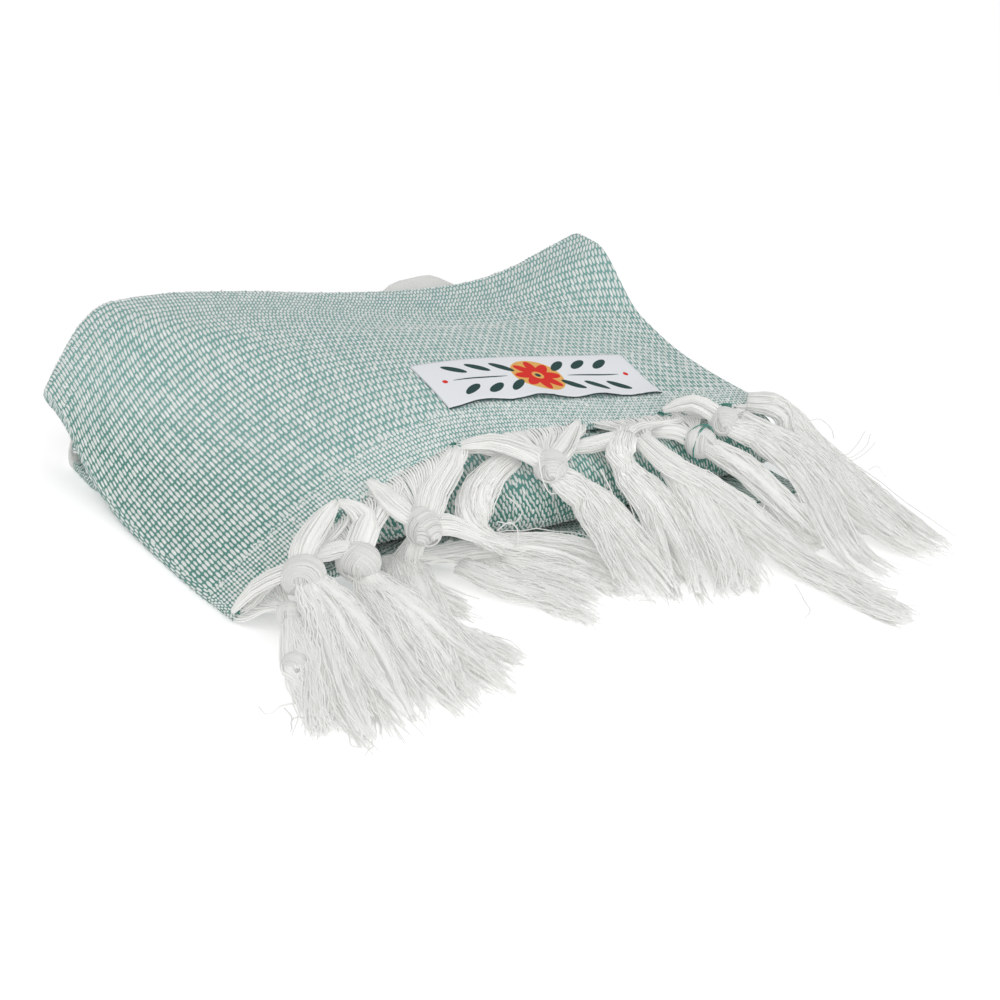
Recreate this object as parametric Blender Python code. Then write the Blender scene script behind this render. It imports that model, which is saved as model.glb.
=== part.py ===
"""A hammam towel folded into a flat pack, with knotted fringe and a sewn label.

The cloth is folded to a quarter of its width and then laid back and forth in eight
layers, so that one woven hem ends up on top of the pack and the other beneath it.
Both hems face the front, and their warp ends are knotted into tassels.
The sizes are millimetres in the pack's own frame: x runs to the right along the top
hem from its left end, y runs back from the top hem, and z is up from the floor.
"""

import math
from collections import namedtuple

import bmesh
import bpy
from mathutils import Vector
from mathutils.bvhtree import BVHTree

MM = 0.001
UP = Vector((0.0, 0.0, 1.0))

# Cloth. A layer is the cloth folded to a quarter of its width, so it holds four plies.
LAYERS = 8
LAYER_THICKNESS = 4.0
FULLEST = 0.70  # share of the layers' pitch that cloth may fill where the pack is low
EDGE_GAP = 0.6  # from a lower layer's left edge to the slope above it, of the space between layers
STACK_X = 60.0  # right of here all layers lie flat on each other, left of here the top ones slope
NOMINAL_WIDTH = 250.0
SLOPE_COLUMNS = 6
FLAT_COLUMNS = 8
FLAT_COLUMN_WIDTH = 24.0
SHARED_BACKS = (28.0, 50.0, 72.0, 94.0, 116.0)  # where every layer has a row of points
SMALL_LOOP_STEPS = 4
LARGE_LOOP_STEPS = 8

# The layers in the order in which the cloth runs through them, 0 at the bottom.
# The first and last end in a hem at the front. The turns lie back, front, back and so on.
RUN_ORDER = (7, 6, 1, 2, 3, 4, 5, 0)
TOP_LAYER = 7
SECOND_LAYER = 6
LONG_LAYERS = (5, 0)  # joined by the large back turn, so they run on past the inner turns
SHELTERED_LAYERS = (2, 4)  # joined at the front to the layer above, whose left edge they share

# The second layer starts to spread left, beneath the top one, a little behind the top hem.
SPREAD_START = 10.0
SPREAD_LENGTH = 45.0

# How far each layer's right edge stays inside the pack's, bottom layer first.
RIGHT_INSETS = (5.0, 2.0, 6.0, 3.0, 7.0, 2.5, 4.0, 0.0)

# The top surface across the pack, a row for each distance back from the top hem.
Section = namedtuple(
    "Section", "back left_x left_z crest_x crest_z middle_x middle_z right_x right_z"
)
CREST_LEAD = 30.0  # so that the long fall starts level at the crest
SECTIONS = (
    Section(0, 0, 4.0, 104, 46, 190, 35.5, 249, 28),
    Section(22, 0, 4.0, 104, 53, 195, 37.0, 250, 28),
    Section(52, 1, 4.0, 98, 58, 200, 42.0, 252, 29),
    Section(92, 3, 5.0, 80, 60, 205, 42.0, 256, 36),
    Section(130, 6, 13.0, 58, 62, 205, 41.0, 260, 58),
    Section(155, 9, 24.0, 46, 62, 203, 41.0, 263, 57),
    Section(180, 10, 31.0, 42, 61, 200, 38.0, 265, 54),
)

# Where the folds and the lower hem lie, by distance along the top hem.
Turn = namedtuple("Turn", "along top_back low_back low_front lower_hem")
TURNS = (
    Turn(0, 176, 170, 12, 12),
    Turn(45, 178, 172, 9, 10),
    Turn(90, 176, 170, 3, 2),
    Turn(130, 172, 168, -17, -10),
    Turn(165, 168, 178, -18, -24),
    Turn(190, 164, 190, -17, -27),
    Turn(212, 159, 191, -16, -31),
    Turn(238, 152, 168, -15, -33),
    Turn(265, 145, 147, -12, -32),
)
INNER_TURN_INSET = 22.0
LARGE_TURN_REACH = 12.0
LAST_ROW_MARGIN = 6.0  # between the row where the tongue starts and the large turn
FRONT_DROOP = 0.10
FRONT_DROOP_LENGTH = 30.0

# The large back turn stands up behind the top one as a pale tongue of cloth.
TONGUE_LIFT = 13.0
TONGUE_SPAN = (150.0, 196.0, 210.0, 232.0)
TONGUE_START = 1.5
TONGUE_RISE = 16.0
TONGUE_FOOT = 20.0  # below this height the turn rises less, and not at all on the floor

# Label, sewn on near the top hem.
LABEL_CORNER = (106.0, 18.0)
LABEL_SIZE = (103.0, 32.0)
LABEL_THICKNESS = 1.0
LABEL_CLEARANCE = 0.6
LABEL_SKEW = 3.0
LABEL_WAVE = 1.3
LABEL_WAVES = 3.5
LABEL_GRID = (20, 4)
ABOVE_ALL = 200.0

# Fringe. A tassel is a fan of strands, one overhand knot and a tail of locks.
FringeKind = namedtuple("FringeKind", "locks steps knot_length knot_width knot_height lock_height")
UPPER_KIND = FringeKind(5, 5, 8.5, 7.5, 7.0, 4.4)
LOWER_KIND = FringeKind(3, 3, 5.0, 5.0, 3.4, 3.0)
BACKING_PART = 0.4  # between the hem and the strip that the strands grow from
BACKING_DEPTH = 2.4
STRAND_SHARE = 0.56  # strand width as a share of its pitch along the hem
WAIST_SHARE = 0.72  # strand thickness half way, as a share of its ends'
FLOOR_SHARE = 0.78  # how far along its tail a lock comes down on the floor
LOCK_SHARE = 0.8  # lock width as a share of the space between two locks
TIP_SHARE = 0.55
TAIL_AIM = 0.35  # how far the tail keeps the knot's direction, as a share of its length
TAIL_MOUTH = 0.62  # the tail's half width where it leaves the knot, as a share of the knot's
TAIL_UNEVENNESS = 0.035
AHEAD = 0.01  # share of a tail over which its heading is read

# The knot's rings, by place along its axis, as shares of its half sizes.
KnotRing = namedtuple("KnotRing", "place width height")
KNOT_RINGS = (
    KnotRing(-1.0, 0.55, 0.45),
    KnotRing(-0.5, 0.95, 0.92),
    KnotRing(0.4, 1.0, 1.0),
    KnotRing(1.0, 0.6, 0.5),
)
RING_GAP = 0.4  # opening left at each side of a ring, in steps between two of its points

Tassel = namedtuple("Tassel", "hem_from hem_to knot_x knot_y knot_z tip_x tip_y fan")
UPPER_TASSELS = (
    Tassel(2, 12, 3, -31, 11, -18, -92, 7.5),
    Tassel(13, 40, 24, -14, 19, 13, -108, 9.5),
    Tassel(41, 56, 47, -18, 24, 44, -110, 11.5),
    Tassel(57, 86, 71, -21, 31, 82, -98, 12),
    Tassel(87, 104, 94, -24, 33, 113, -94, 10),
    Tassel(105, 146, 124, -25, 41, 137, -92, 8.5),
    Tassel(147, 170, 157, -25, 36, 160, -96, 8.5),
    Tassel(171, 186, 178, -26, 34, 187, -130, 7.5),
    Tassel(187, 204, 196, -23, 32, 206, -100, 6.0),
    Tassel(205, 224, 214, -22, 31, 225, -112, 6.5),
    Tassel(225, 236, 231, -27, 26, 243, -118, 7),
    Tassel(237, 248, 249, -26, 24, 263, -104, 8.5),
)
UPPER_ENDS = (1.0, 248.6)
LOWER_TASSELS = (
    Tassel(24, 44, 35, -8, 3.9, 37, -36, 5),
    Tassel(54, 76, 66, -11, 3.9, 70, -42, 5),
    Tassel(86, 108, 100, -17, 3.9, 104, -50, 5),
    Tassel(118, 138, 130, -30, 3.9, 128, -58, 5),
    Tassel(148, 168, 157, -39, 3.9, 152, -64, 5),
    Tassel(178, 196, 185, -43, 3.9, 180, -68, 5),
    Tassel(206, 222, 212, -46, 3.9, 210, -70, 5),
    Tassel(228, 242, 236, -48, 3.9, 239, -74, 5),
)
LOWER_ENDS = (18.0, 243.6)

Finish = namedtuple("Finish", "name color roughness")
CLOTH_FINISH = Finish("green and white cotton", (0.42, 0.60, 0.55), 0.9)
YARN_FINISH = Finish("white cotton yarn", (0.83, 0.83, 0.82), 0.85)
LABEL_FINISH = Finish("white woven satin", (0.80, 0.82, 0.85), 0.6)


def mix(start, end, share):
    """The number at this share of the way from start to end."""
    return start + (end - start) * share


def ease(share):
    """0 to 1 with level ends, for a share that may lie outside 0 to 1."""
    share = min(1.0, max(0.0, share))
    return share * share * (3.0 - 2.0 * share)


def level_slopes(places, values):
    """Slopes for a curve through the values that makes no hump between two of them."""
    steps = [
        (values[i + 1] - values[i]) / (places[i + 1] - places[i])
        for i in range(len(places) - 1)
    ]
    slopes = [steps[0]]
    for before, after in zip(steps, steps[1:]):
        slopes.append(2.0 * before * after / (before + after) if before * after > 0 else 0.0)
    return slopes + [steps[-1]]


def curve(places, values, place):
    """The smooth curve through the values, level outside the places."""
    place = min(places[-1], max(places[0], place))
    i = max(j for j in range(len(places) - 1) if places[j] <= place)
    width = places[i + 1] - places[i]
    share = (place - places[i]) / width
    slopes = level_slopes(places, values)
    bend = (1.0 - share) * slopes[i] * width - share * slopes[i + 1] * width
    chord = (1.0 - 2.0 * share) * (values[i + 1] - values[i])
    return mix(values[i], values[i + 1], share) + share * (1.0 - share) * (bend - chord)


def section_at(back):
    """The pack's cross-section this far back, between the rows of SECTIONS."""
    places = [row.back for row in SECTIONS]
    return Section(*(curve(places, column, back) for column in zip(*SECTIONS)))


def turn_at(along):
    """Where the folds lie at this place along the hem, between the rows of TURNS."""
    places = [row.along for row in TURNS]
    return Turn(*(curve(places, column, along) for column in zip(*TURNS)))


def top_height(x, row):
    """The top surface: a rounded slope from the left fold to the crest, then a long fall."""
    if x <= row.crest_x:
        share = max(0.0, (x - row.left_x) / (row.crest_x - row.left_x))
        return mix(row.left_z, row.crest_z, math.sin(0.5 * math.pi * share))
    places = (row.crest_x - CREST_LEAD, row.crest_x, row.middle_x, row.right_x)
    return curve(places, (row.crest_z, row.crest_z, row.middle_z, row.right_z), x)


def place_of_height(height, row):
    """Where on the left slope the top surface reaches this height."""
    share = (height - row.left_z) / (row.crest_z - row.left_z)
    turn = math.asin(min(1.0, max(0.0, share))) / (0.5 * math.pi)
    return mix(row.left_x, row.crest_x, turn)


def stack_at(x, back, row):
    """(pitch, thickness) of the flat layers. They sink a little in front of the top hem."""
    droop = 1.0 - FRONT_DROOP * ease(-back / FRONT_DROOP_LENGTH)
    height = top_height(max(x, STACK_X), row) * droop
    thickness = min(LAYER_THICKNESS, FULLEST * height / (LAYERS - 1 + FULLEST))
    return (height - thickness) / (LAYERS - 1), thickness


def left_edge(layer, back, row):
    """A layer's left edge: the top one's is the pack's, and the others stop beneath its slope."""
    if layer == TOP_LAYER:
        return row.left_x
    pitch, thickness = stack_at(STACK_X, back, row)
    gap = EDGE_GAP * (pitch - thickness)
    upper = layer + 1 if layer in SHELTERED_LAYERS else layer
    need = (upper + 1) * pitch + 2.0 * thickness + gap
    if layer == SECOND_LAYER:
        spread = ease((back - SPREAD_START) / SPREAD_LENGTH)
        need = mix(5.0 * pitch, pitch + thickness + gap, spread)
    return min(STACK_X - 1.0, max(row.left_x + gap, place_of_height(need, row)))


def edges_at(layer, back, row):
    """(left, right) edges of a layer."""
    return left_edge(layer, back, row), row.right_x - RIGHT_INSETS[layer]


def middle_height(layer, x, back, row):
    """(height, thickness) at the middle of a layer's thickness."""
    pitch, thickness = stack_at(x, back, row)
    if layer >= SECOND_LAYER:
        drop = (TOP_LAYER - layer) * pitch
        droop = 1.0 - FRONT_DROOP * ease(-back / FRONT_DROOP_LENGTH)
        return top_height(x, row) * droop - drop - 0.5 * thickness, thickness
    return layer * pitch + 0.5 * thickness, thickness


def tongue_lift(along, back, height, top_back):
    """How much the large back turn rises behind the top fold."""
    start, full, level, end = TONGUE_SPAN
    across = ease((along - start) / (full - start)) * (1.0 - ease((along - level) / (end - level)))
    behind = ease((back - top_back - TONGUE_START) / TONGUE_RISE)
    return TONGUE_LIFT * across * behind * ease(height / TONGUE_FOOT)


def run_ends(layer, turn):
    """(front, back) ends of a layer's flat run, where its turns begin."""
    front = turn.low_front + LARGE_TURN_REACH
    back = turn.top_back - INNER_TURN_INSET
    if layer == TOP_LAYER:
        front = 0.0
    if layer == 0:
        front = turn.lower_hem
    if layer >= SECOND_LAYER:
        back = turn.top_back - LAYER_THICKNESS
    if layer in LONG_LAYERS:
        back = turn.low_back - LARGE_TURN_REACH
    return front, back


def place_across(column, left, right):
    """The x of a column of points. Layers share the columns right of the slope."""
    if column <= SLOPE_COLUMNS:
        return mix(left, STACK_X, column / SLOPE_COLUMNS)
    if column == SLOPE_COLUMNS + FLAT_COLUMNS:
        return right
    return STACK_X + FLAT_COLUMN_WIDTH * (column - SLOPE_COLUMNS)


def run_backs(layer, turn):
    """How far back a flat run's rows of points lie, front to back."""
    front, rear = run_ends(layer, turn)
    late = mix(SHARED_BACKS[-1], rear, 0.5)
    if layer in LONG_LAYERS:
        late = min(turn.top_back + TONGUE_START, rear - LAST_ROW_MARGIN)
    return (front, mix(front, SHARED_BACKS[0], 0.5), *SHARED_BACKS, late, rear)


def run_pair(layer, step, column, forward):
    """Points on both faces of a flat run, the face that ends on top of the pack first."""
    along = place_across(column, 0.0, NOMINAL_WIDTH)
    turn = turn_at(along)
    back = run_backs(layer, turn)[step]
    row = section_at(back)
    x = place_across(column, *edges_at(layer, back, row))
    height, thickness = middle_height(layer, x, back, row)
    if layer == LONG_LAYERS[0]:
        height += tongue_lift(along, back, height, turn.top_back)
    side = 0.5 * thickness if forward else -0.5 * thickness
    return (x, back, height + side), (x, back, height - side)


def loop_pair(start, end, share, column, at_back):
    """Points on both faces of the half round that joins two layers."""
    along = place_across(column, 0.0, NOMINAL_WIDTH)
    turn = turn_at(along)
    middle = run_ends(start, turn)[at_back]
    row = section_at(middle)
    blend = 0.5 - 0.5 * math.cos(math.pi * share)
    edges = zip(*(edges_at(layer, middle, row) for layer in (start, end)))
    x = place_across(column, *(mix(near, far, blend) for near, far in edges))
    ends = [middle_height(layer, x, middle, row) for layer in (start, end)]
    thickness = ends[0][1]
    rise = 0.5 * (ends[0][0] - ends[1][0])
    reach = LARGE_TURN_REACH - 0.5 * thickness if abs(start - end) > 1 else abs(rise)
    outward = 0.5 * thickness if (start > end) == at_back else -0.5 * thickness
    points = []
    for offset in (outward, -outward):
        swing = (reach + offset) * math.sin(math.pi * share)
        back = middle + swing if at_back else middle - swing
        lean = math.copysign(abs(rise) + offset, rise) * math.cos(math.pi * share)
        height = 0.5 * (ends[0][0] + ends[1][0]) + lean
        if (start, end) == LONG_LAYERS:
            height += tongue_lift(along, back, height, turn.top_back)
        points.append((x, back, height))
    return points


def cloth_stations():
    """Rows of point pairs across the cloth, from the top hem to the lower hem."""
    rows = []
    columns = range(SLOPE_COLUMNS + FLAT_COLUMNS + 1)
    steps = len(SHARED_BACKS) + 4
    for place, layer in enumerate(RUN_ORDER):
        forward = place % 2 == 0
        for step in range(steps) if forward else reversed(range(steps)):
            rows.append([run_pair(layer, step, column, forward) for column in columns])
        if place + 1 == LAYERS:
            break
        following = RUN_ORDER[place + 1]
        turns = SMALL_LOOP_STEPS if abs(layer - following) == 1 else LARGE_LOOP_STEPS
        for step in range(1, turns):
            share = step / turns
            rows.append([loop_pair(layer, following, share, column, forward) for column in columns])
    return rows


def split(quad, points):
    """Two triangles, cut along the higher diagonal so that all layers crease alike."""
    a, b, c, d = quad
    if points[a][2] + points[c][2] > points[b][2] + points[d][2]:
        return [(a, b, c), (a, c, d)]
    return [(a, b, d), (b, c, d)]


def solid_from_rows(rows):
    """Points and faces of the closed sheet between the two faces of these rows."""
    across = len(rows[0])
    points = [point for row in rows for pair in row for point in pair]

    def at(row, column, face):
        return 2 * (row * across + column) + face

    faces = []
    for row in range(len(rows) - 1):
        for column in range(across - 1):
            for face in (0, 1):
                quad = [at(row, column, face), at(row, column + 1, face)]
                quad += [at(row + 1, column + 1, face), at(row + 1, column, face)]
                faces += split(quad if face == 0 else quad[::-1], points)
        for column in (0, across - 1):
            quad = [at(row, column, 0), at(row + 1, column, 0)]
            quad += [at(row + 1, column, 1), at(row, column, 1)]
            faces.append(quad if column == 0 else quad[::-1])
    for row in (0, len(rows) - 1):
        for column in range(across - 1):
            quad = [at(row, column, 1), at(row, column + 1, 1)]
            quad += [at(row, column + 1, 0), at(row, column, 0)]
            faces.append(quad if row == 0 else quad[::-1])
    return points, faces


def label(cloth_points, cloth_faces):
    """A thin patch that follows the cloth, sewn at its ends and wavy along its lower edge."""
    tree = BVHTree.FromPolygons(cloth_points, cloth_faces)
    across, deep = LABEL_GRID
    rows = []
    for step in range(deep + 1):
        depth = step / deep
        row = []
        for column in range(across + 1):
            share = column / across
            x = LABEL_CORNER[0] + LABEL_SIZE[0] * share + LABEL_SKEW * depth
            y = LABEL_CORNER[1] + LABEL_SIZE[1] * depth
            seat = tree.ray_cast(Vector((x, y, ABOVE_ALL)), -UP)[0].z
            wave = 0.5 - 0.5 * math.cos(2.0 * math.pi * LABEL_WAVES * share)
            free = math.sin(math.pi * share) * (1.0 - depth) ** 2
            under = seat + LABEL_CLEARANCE + LABEL_WAVE * wave * free
            row.append(((x, y, under + LABEL_THICKNESS), (x, y, under)))
        rows.append(row)
    return solid_from_rows(rows)


class Mesh:
    """Points and faces of one closed body that is put together from quads."""

    def __init__(self):
        self.points = []
        self.faces = []

    def add(self, point):
        self.points.append(tuple(point))
        return len(self.points) - 1

    def join(self, near, far):
        """Four sides between one quad and the next along a strand."""
        for i in range(4):
            j = (i + 1) % 4
            self.faces.append((near[i], near[j], far[j], far[i]))

    def quad(self, centre, across, up):
        """A quad's four new points, upper left first and then round to the right."""
        corners = (across * -1.0 + up, across + up, across - up, across * -1.0 - up)
        return [self.add(centre + corner) for corner in corners]


def backing_places(tassels, strips):
    """Where strands begin and end along a hem, and which tassel each one goes to."""
    places = []
    for number, tassel in enumerate(tassels):
        pitch = (tassel.hem_to - tassel.hem_from) / strips
        for strip in range(strips):
            middle = tassel.hem_from + pitch * (strip + 0.5)
            reach = 0.5 * STRAND_SHARE * pitch
            places.append((middle - reach, middle + reach, number))
    return places


def backing(mesh, places, ends, edge):
    """The strip beside the hem. Returns each tassel's root quads, left to right."""
    stops = sorted({ends[0], ends[1]} | {place for low, high, _ in places for place in (low, high)})
    owners = {low: number for low, _, number in places}
    columns = []
    for stop in stops:
        y, low, high = edge(stop)
        rear = y - BACKING_PART
        front = rear - BACKING_DEPTH
        corners = ((front, high), (front, low), (rear, low), (rear, high))
        columns.append([mesh.add((stop, depth, height)) for depth, height in corners])
    roots = {}
    for stop, here, following in zip(stops, columns, columns[1:]):
        for i in (1, 2, 3):
            j = (i + 1) % 4
            mesh.faces.append((here[i], here[j], following[j], following[i]))
        front = (here[0], following[0], following[1], here[1])
        if stop in owners:
            roots.setdefault(owners[stop], []).append(front)
        else:
            mesh.faces.append(front)
    mesh.faces.append(tuple(columns[0]))
    mesh.faces.append(tuple(columns[-1][::-1]))
    return roots


def knot_ring(mesh, centre, across, up, width, height, strips):
    """A rounded ring of points in two rows, upper and lower, left to right."""
    rows = []
    for side in (1.0, -1.0):
        row = []
        for i in range(strips + 1):
            angle = math.pi * (1.0 - (i + RING_GAP) / (strips + 2.0 * RING_GAP))
            offset = across * (width * math.cos(angle)) + up * (side * height * math.sin(angle))
            row.append(mesh.add(centre + offset))
        rows.append(row)
    return rows


def ring_quads(ring):
    upper, lower = ring
    return [(upper[i], upper[i + 1], lower[i + 1], lower[i]) for i in range(len(upper) - 1)]


def knot(mesh, centre, axis, kind):
    """The overhand knot: four rings, open at both ends. Returns the first and last ring."""
    across = UP.cross(axis).normalized()
    up = axis.cross(across)
    rings = []
    for ring in KNOT_RINGS:
        spot = centre + axis * (ring.place * kind.knot_length)
        width = ring.width * kind.knot_width
        height = ring.height * kind.knot_height
        rings.append(knot_ring(mesh, spot, across, up, width, height, kind.locks))
    for near, far in zip(rings, rings[1:]):
        for i in range(kind.locks):
            mesh.faces.append((near[0][i], near[0][i + 1], far[0][i + 1], far[0][i]))
            mesh.faces.append((near[1][i + 1], near[1][i], far[1][i], far[1][i + 1]))
        mesh.faces.append((near[1][0], near[0][0], far[0][0], far[1][0]))
        mesh.faces.append((near[0][-1], near[1][-1], far[1][-1], far[0][-1]))
    return rings[0], rings[-1]


def strand(mesh, root, seat):
    """A fan strand from the backing to the knot, waisted half way so that each stands apart."""
    near = [Vector(mesh.points[i]) for i in root]
    far = [Vector(mesh.points[i]) for i in seat]
    middles = [0.5 * (a + b) for a, b in zip(near, far)]
    centre = sum(middles, Vector()) / 4.0
    waist = [mesh.add(centre + WAIST_SHARE * (point - centre)) for point in middles]
    mesh.join(root, waist)
    mesh.join(waist, seat)


def tail_point(start, aim, tip, share):
    """A point on the curve that leaves the knot along its axis and ends at the tip."""
    bend = start + aim
    return (1 - share) ** 2 * start + 2 * share * (1 - share) * bend + share**2 * tip


def tail(mesh, ring, centre, axis, tassel, kind):
    """The locks below a knot. They spread sideways, fall to the floor and rest level on it."""
    tip = Vector((tassel.tip_x, tassel.tip_y, 0.0))
    start = Vector((centre.x, centre.y, 0.0)) + Vector((axis.x, axis.y, 0.0)) * kind.knot_length
    length = (tip - start).length
    aim = Vector((axis.x, axis.y, 0.0)) * (TAIL_AIM * length)
    exit_height = centre.z + axis.z * kind.knot_length
    middle = 0.5 * (kind.locks - 1)
    for i, root in enumerate(ring_quads(ring)):
        side = (i - middle) / middle
        uneven = 1.0 + TAIL_UNEVENNESS * math.cos(2.1 * i + tassel.tip_x)
        last = root
        for step in range(1, kind.steps + 1):
            share = step / kind.steps
            here = tail_point(start, aim, tip, share * uneven)
            ahead = tail_point(start, aim, tip, share * uneven + AHEAD)
            heading = (ahead - here).normalized()
            across = UP.cross(heading)
            taper = mix(1.0, TIP_SHARE, ease(1.5 * share - 0.5))
            spread = mix(TAIL_MOUTH * kind.knot_width, tassel.fan, ease(1.3 * share))
            half_width = 0.5 * LOCK_SHARE * taper * spread / middle
            half_height = 0.5 * kind.lock_height * taper
            spot = here + across * (side * spread)
            fall = ease(share / FLOOR_SHARE)
            spot.z = mix(exit_height, half_height, fall)
            quad = mesh.quad(spot, across * half_width, UP * half_height)
            mesh.join(last, quad)
            last = quad
        mesh.faces.append(tuple(last))


def fringe(tassels, kind, ends, edge):
    """One node: the strip along a hem with every tassel that grows from it."""
    mesh = Mesh()
    roots = backing(mesh, backing_places(tassels, kind.locks), ends, edge)
    for number, tassel in enumerate(tassels):
        centre = Vector((tassel.knot_x, tassel.knot_y, tassel.knot_z))
        middle = 0.5 * (tassel.hem_from + tassel.hem_to)
        y, low, high = edge(middle)
        origin = Vector((middle, y - BACKING_DEPTH, 0.5 * (low + high)))
        axis = centre - origin
        axis.z = 0.5 * axis.z
        axis.normalize()
        first, last = knot(mesh, centre, axis, kind)
        for root, seat in zip(roots[number], ring_quads(first)):
            strand(mesh, root, seat)
        tail(mesh, last, centre, axis, tassel, kind)
    return mesh.points, mesh.faces


def hem_edge(row):
    """A function that gives (y, lower z, upper z) of this hem at any x along it."""

    def edge(x):
        near, far = next(pair for pair in zip(row, row[1:]) if x <= pair[1][0][0])
        share = (x - near[0][0]) / (far[0][0] - near[0][0])
        heights = sorted(mix(near[face][2], far[face][2], share) for face in (0, 1))
        return mix(near[0][1], far[0][1], share), max(0.0, heights[0]), heights[1]

    return edge


def material(finish):
    made = bpy.data.materials.new(finish.name)
    made.use_nodes = True
    shader = made.node_tree.nodes["Principled BSDF"]
    shader.inputs["Base Color"].default_value = (*finish.color, 1.0)
    shader.inputs["Roughness"].default_value = finish.roughness
    shader.inputs["Metallic"].default_value = 0.0
    return made


def solid(name, shape, finish, origin):
    """A named object with these points, in metres about the given origin."""
    points, faces = shape
    mesh = bpy.data.meshes.new(name)
    places = [[MM * (value - zero) for value, zero in zip(point, origin)] for point in points]
    mesh.from_pydata(places, [], faces)
    shell = bmesh.new()
    shell.from_mesh(mesh)
    bmesh.ops.recalc_face_normals(shell, faces=shell.faces)
    shell.to_mesh(mesh)
    shell.free()
    mesh.materials.append(material(finish))
    made = bpy.data.objects.new(name, mesh)
    bpy.context.scene.collection.objects.link(made)
    return made


def bottom_centre(shapes):
    """The middle of the whole towel's box, at its lowest point."""
    columns = list(zip(*(point for points, _ in shapes for point in points)))
    x, y, _ = (0.5 * (min(column) + max(column)) for column in columns)
    return x, y, min(columns[2])


for startup_object in list(bpy.data.objects):
    bpy.data.objects.remove(startup_object)

cloth_rows = cloth_stations()
cloth_shape = solid_from_rows(cloth_rows)
label_shape = label(*cloth_shape)
upper_shape = fringe(UPPER_TASSELS, UPPER_KIND, UPPER_ENDS, hem_edge(cloth_rows[0]))
lower_shape = fringe(LOWER_TASSELS, LOWER_KIND, LOWER_ENDS, hem_edge(cloth_rows[-1]))
towel_origin = bottom_centre((cloth_shape, label_shape, upper_shape, lower_shape))
solid("towel", cloth_shape, CLOTH_FINISH, towel_origin)
solid("label", label_shape, LABEL_FINISH, towel_origin)
solid("fringe_upper", upper_shape, YARN_FINISH, towel_origin)
solid("fringe_lower", lower_shape, YARN_FINISH, towel_origin)
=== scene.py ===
"""The look of a folded hammam towel: two-coloured cloth, knotted fringes and a sewn label.

Sizes are millimetres in the pack's own frame: x runs to the right along the top hem from
its left end, y runs back from that hem, and z is up from the surface that it lies on.
"""

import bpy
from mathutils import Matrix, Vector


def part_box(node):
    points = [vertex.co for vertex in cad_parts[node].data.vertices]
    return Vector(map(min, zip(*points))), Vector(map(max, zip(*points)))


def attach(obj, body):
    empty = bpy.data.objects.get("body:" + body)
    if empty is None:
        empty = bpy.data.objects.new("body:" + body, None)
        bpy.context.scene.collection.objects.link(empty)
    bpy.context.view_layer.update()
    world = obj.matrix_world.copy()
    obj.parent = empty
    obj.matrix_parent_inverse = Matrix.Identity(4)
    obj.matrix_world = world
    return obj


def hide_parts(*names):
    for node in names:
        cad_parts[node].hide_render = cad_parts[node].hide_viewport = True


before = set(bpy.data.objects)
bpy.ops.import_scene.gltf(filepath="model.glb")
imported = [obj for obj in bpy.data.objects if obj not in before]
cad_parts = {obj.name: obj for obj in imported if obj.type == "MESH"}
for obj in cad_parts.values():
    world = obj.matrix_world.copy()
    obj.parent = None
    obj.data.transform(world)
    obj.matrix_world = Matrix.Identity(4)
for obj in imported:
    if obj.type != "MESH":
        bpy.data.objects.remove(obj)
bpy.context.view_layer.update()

import math
from collections import namedtuple

import bpy
import numpy as np
from mathutils import Vector
from mathutils.bvhtree import BVHTree
from mathutils.geometry import barycentric_transform

# The camera, where the photograph was taken from: about a metre away, left of the pack's
# front and a little above it. Millimetres become metres about the model's own origin, which
# the boxes of two pieces give: the cloth starts at x = 0, the upper fringe just before y = 0.
MM = 0.001
FRINGE_GAP = 0.4
CAMERA_AIM = (139.3, 32.0, 0.0)
CAMERA_DISTANCE = 950.0
CAMERA_ELEVATION = 25.0
CAMERA_AZIMUTH = -34.8
CAMERA_LENS = 85.5

cloth_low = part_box("towel")[0]
fringe_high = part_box("fringe_upper")[1]
pack_start = np.array([cloth_low.x, fringe_high.y + MM * FRINGE_GAP, cloth_low.z])


def in_metres(points):
    """Points in the pack's frame, as metres in the model's."""
    return np.asarray(points) * MM + pack_start


def new_object(name, data):
    """A new object in the scene."""
    made = bpy.data.objects.new(name, data)
    bpy.context.scene.collection.objects.link(made)
    return made


elevation = math.radians(CAMERA_ELEVATION)
azimuth = math.radians(CAMERA_AZIMUTH)
level = CAMERA_DISTANCE * math.cos(elevation)
offset = (level * math.sin(azimuth), -level * math.cos(azimuth), CAMERA_DISTANCE * math.sin(elevation))
camera = new_object("camera", bpy.data.cameras.new("camera"))
camera.data.lens = CAMERA_LENS
camera.location = in_metres(np.array(CAMERA_AIM) + offset)
camera.rotation_euler = (0.5 * math.pi - elevation, 0.0, azimuth)
bpy.context.scene.camera = camera
bpy.context.scene.view_settings.view_transform = "Standard"

# The floor and the light: a seamless white table in a white room, with a broad soft lamp
# high on the left and a weak one in front. The table is lit through from below, so only a
# faint grey is left where the towel meets it.
FLOOR_WIDTH = 12.0
FLOOR_WHITE = "#FBFBFB"
ROOM_LIGHT = 0.70
LAMPS = ("soft lamp", (-0.9, -0.7, 1.7), 1.1, 5.8), ("front fill", (-0.1, -1.6, 0.5), 1.2, 7.0)
FLOOR_GLOW = 0.27


def linear(text):
    """The linear colour of a hex sRGB value."""
    shares = [int(text[i : i + 2], 16) / 255.0 for i in (1, 3, 5)]
    return (*(s / 12.92 if s <= 0.04045 else ((s + 0.055) / 1.055) ** 2.4 for s in shares), 1.0)


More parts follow.
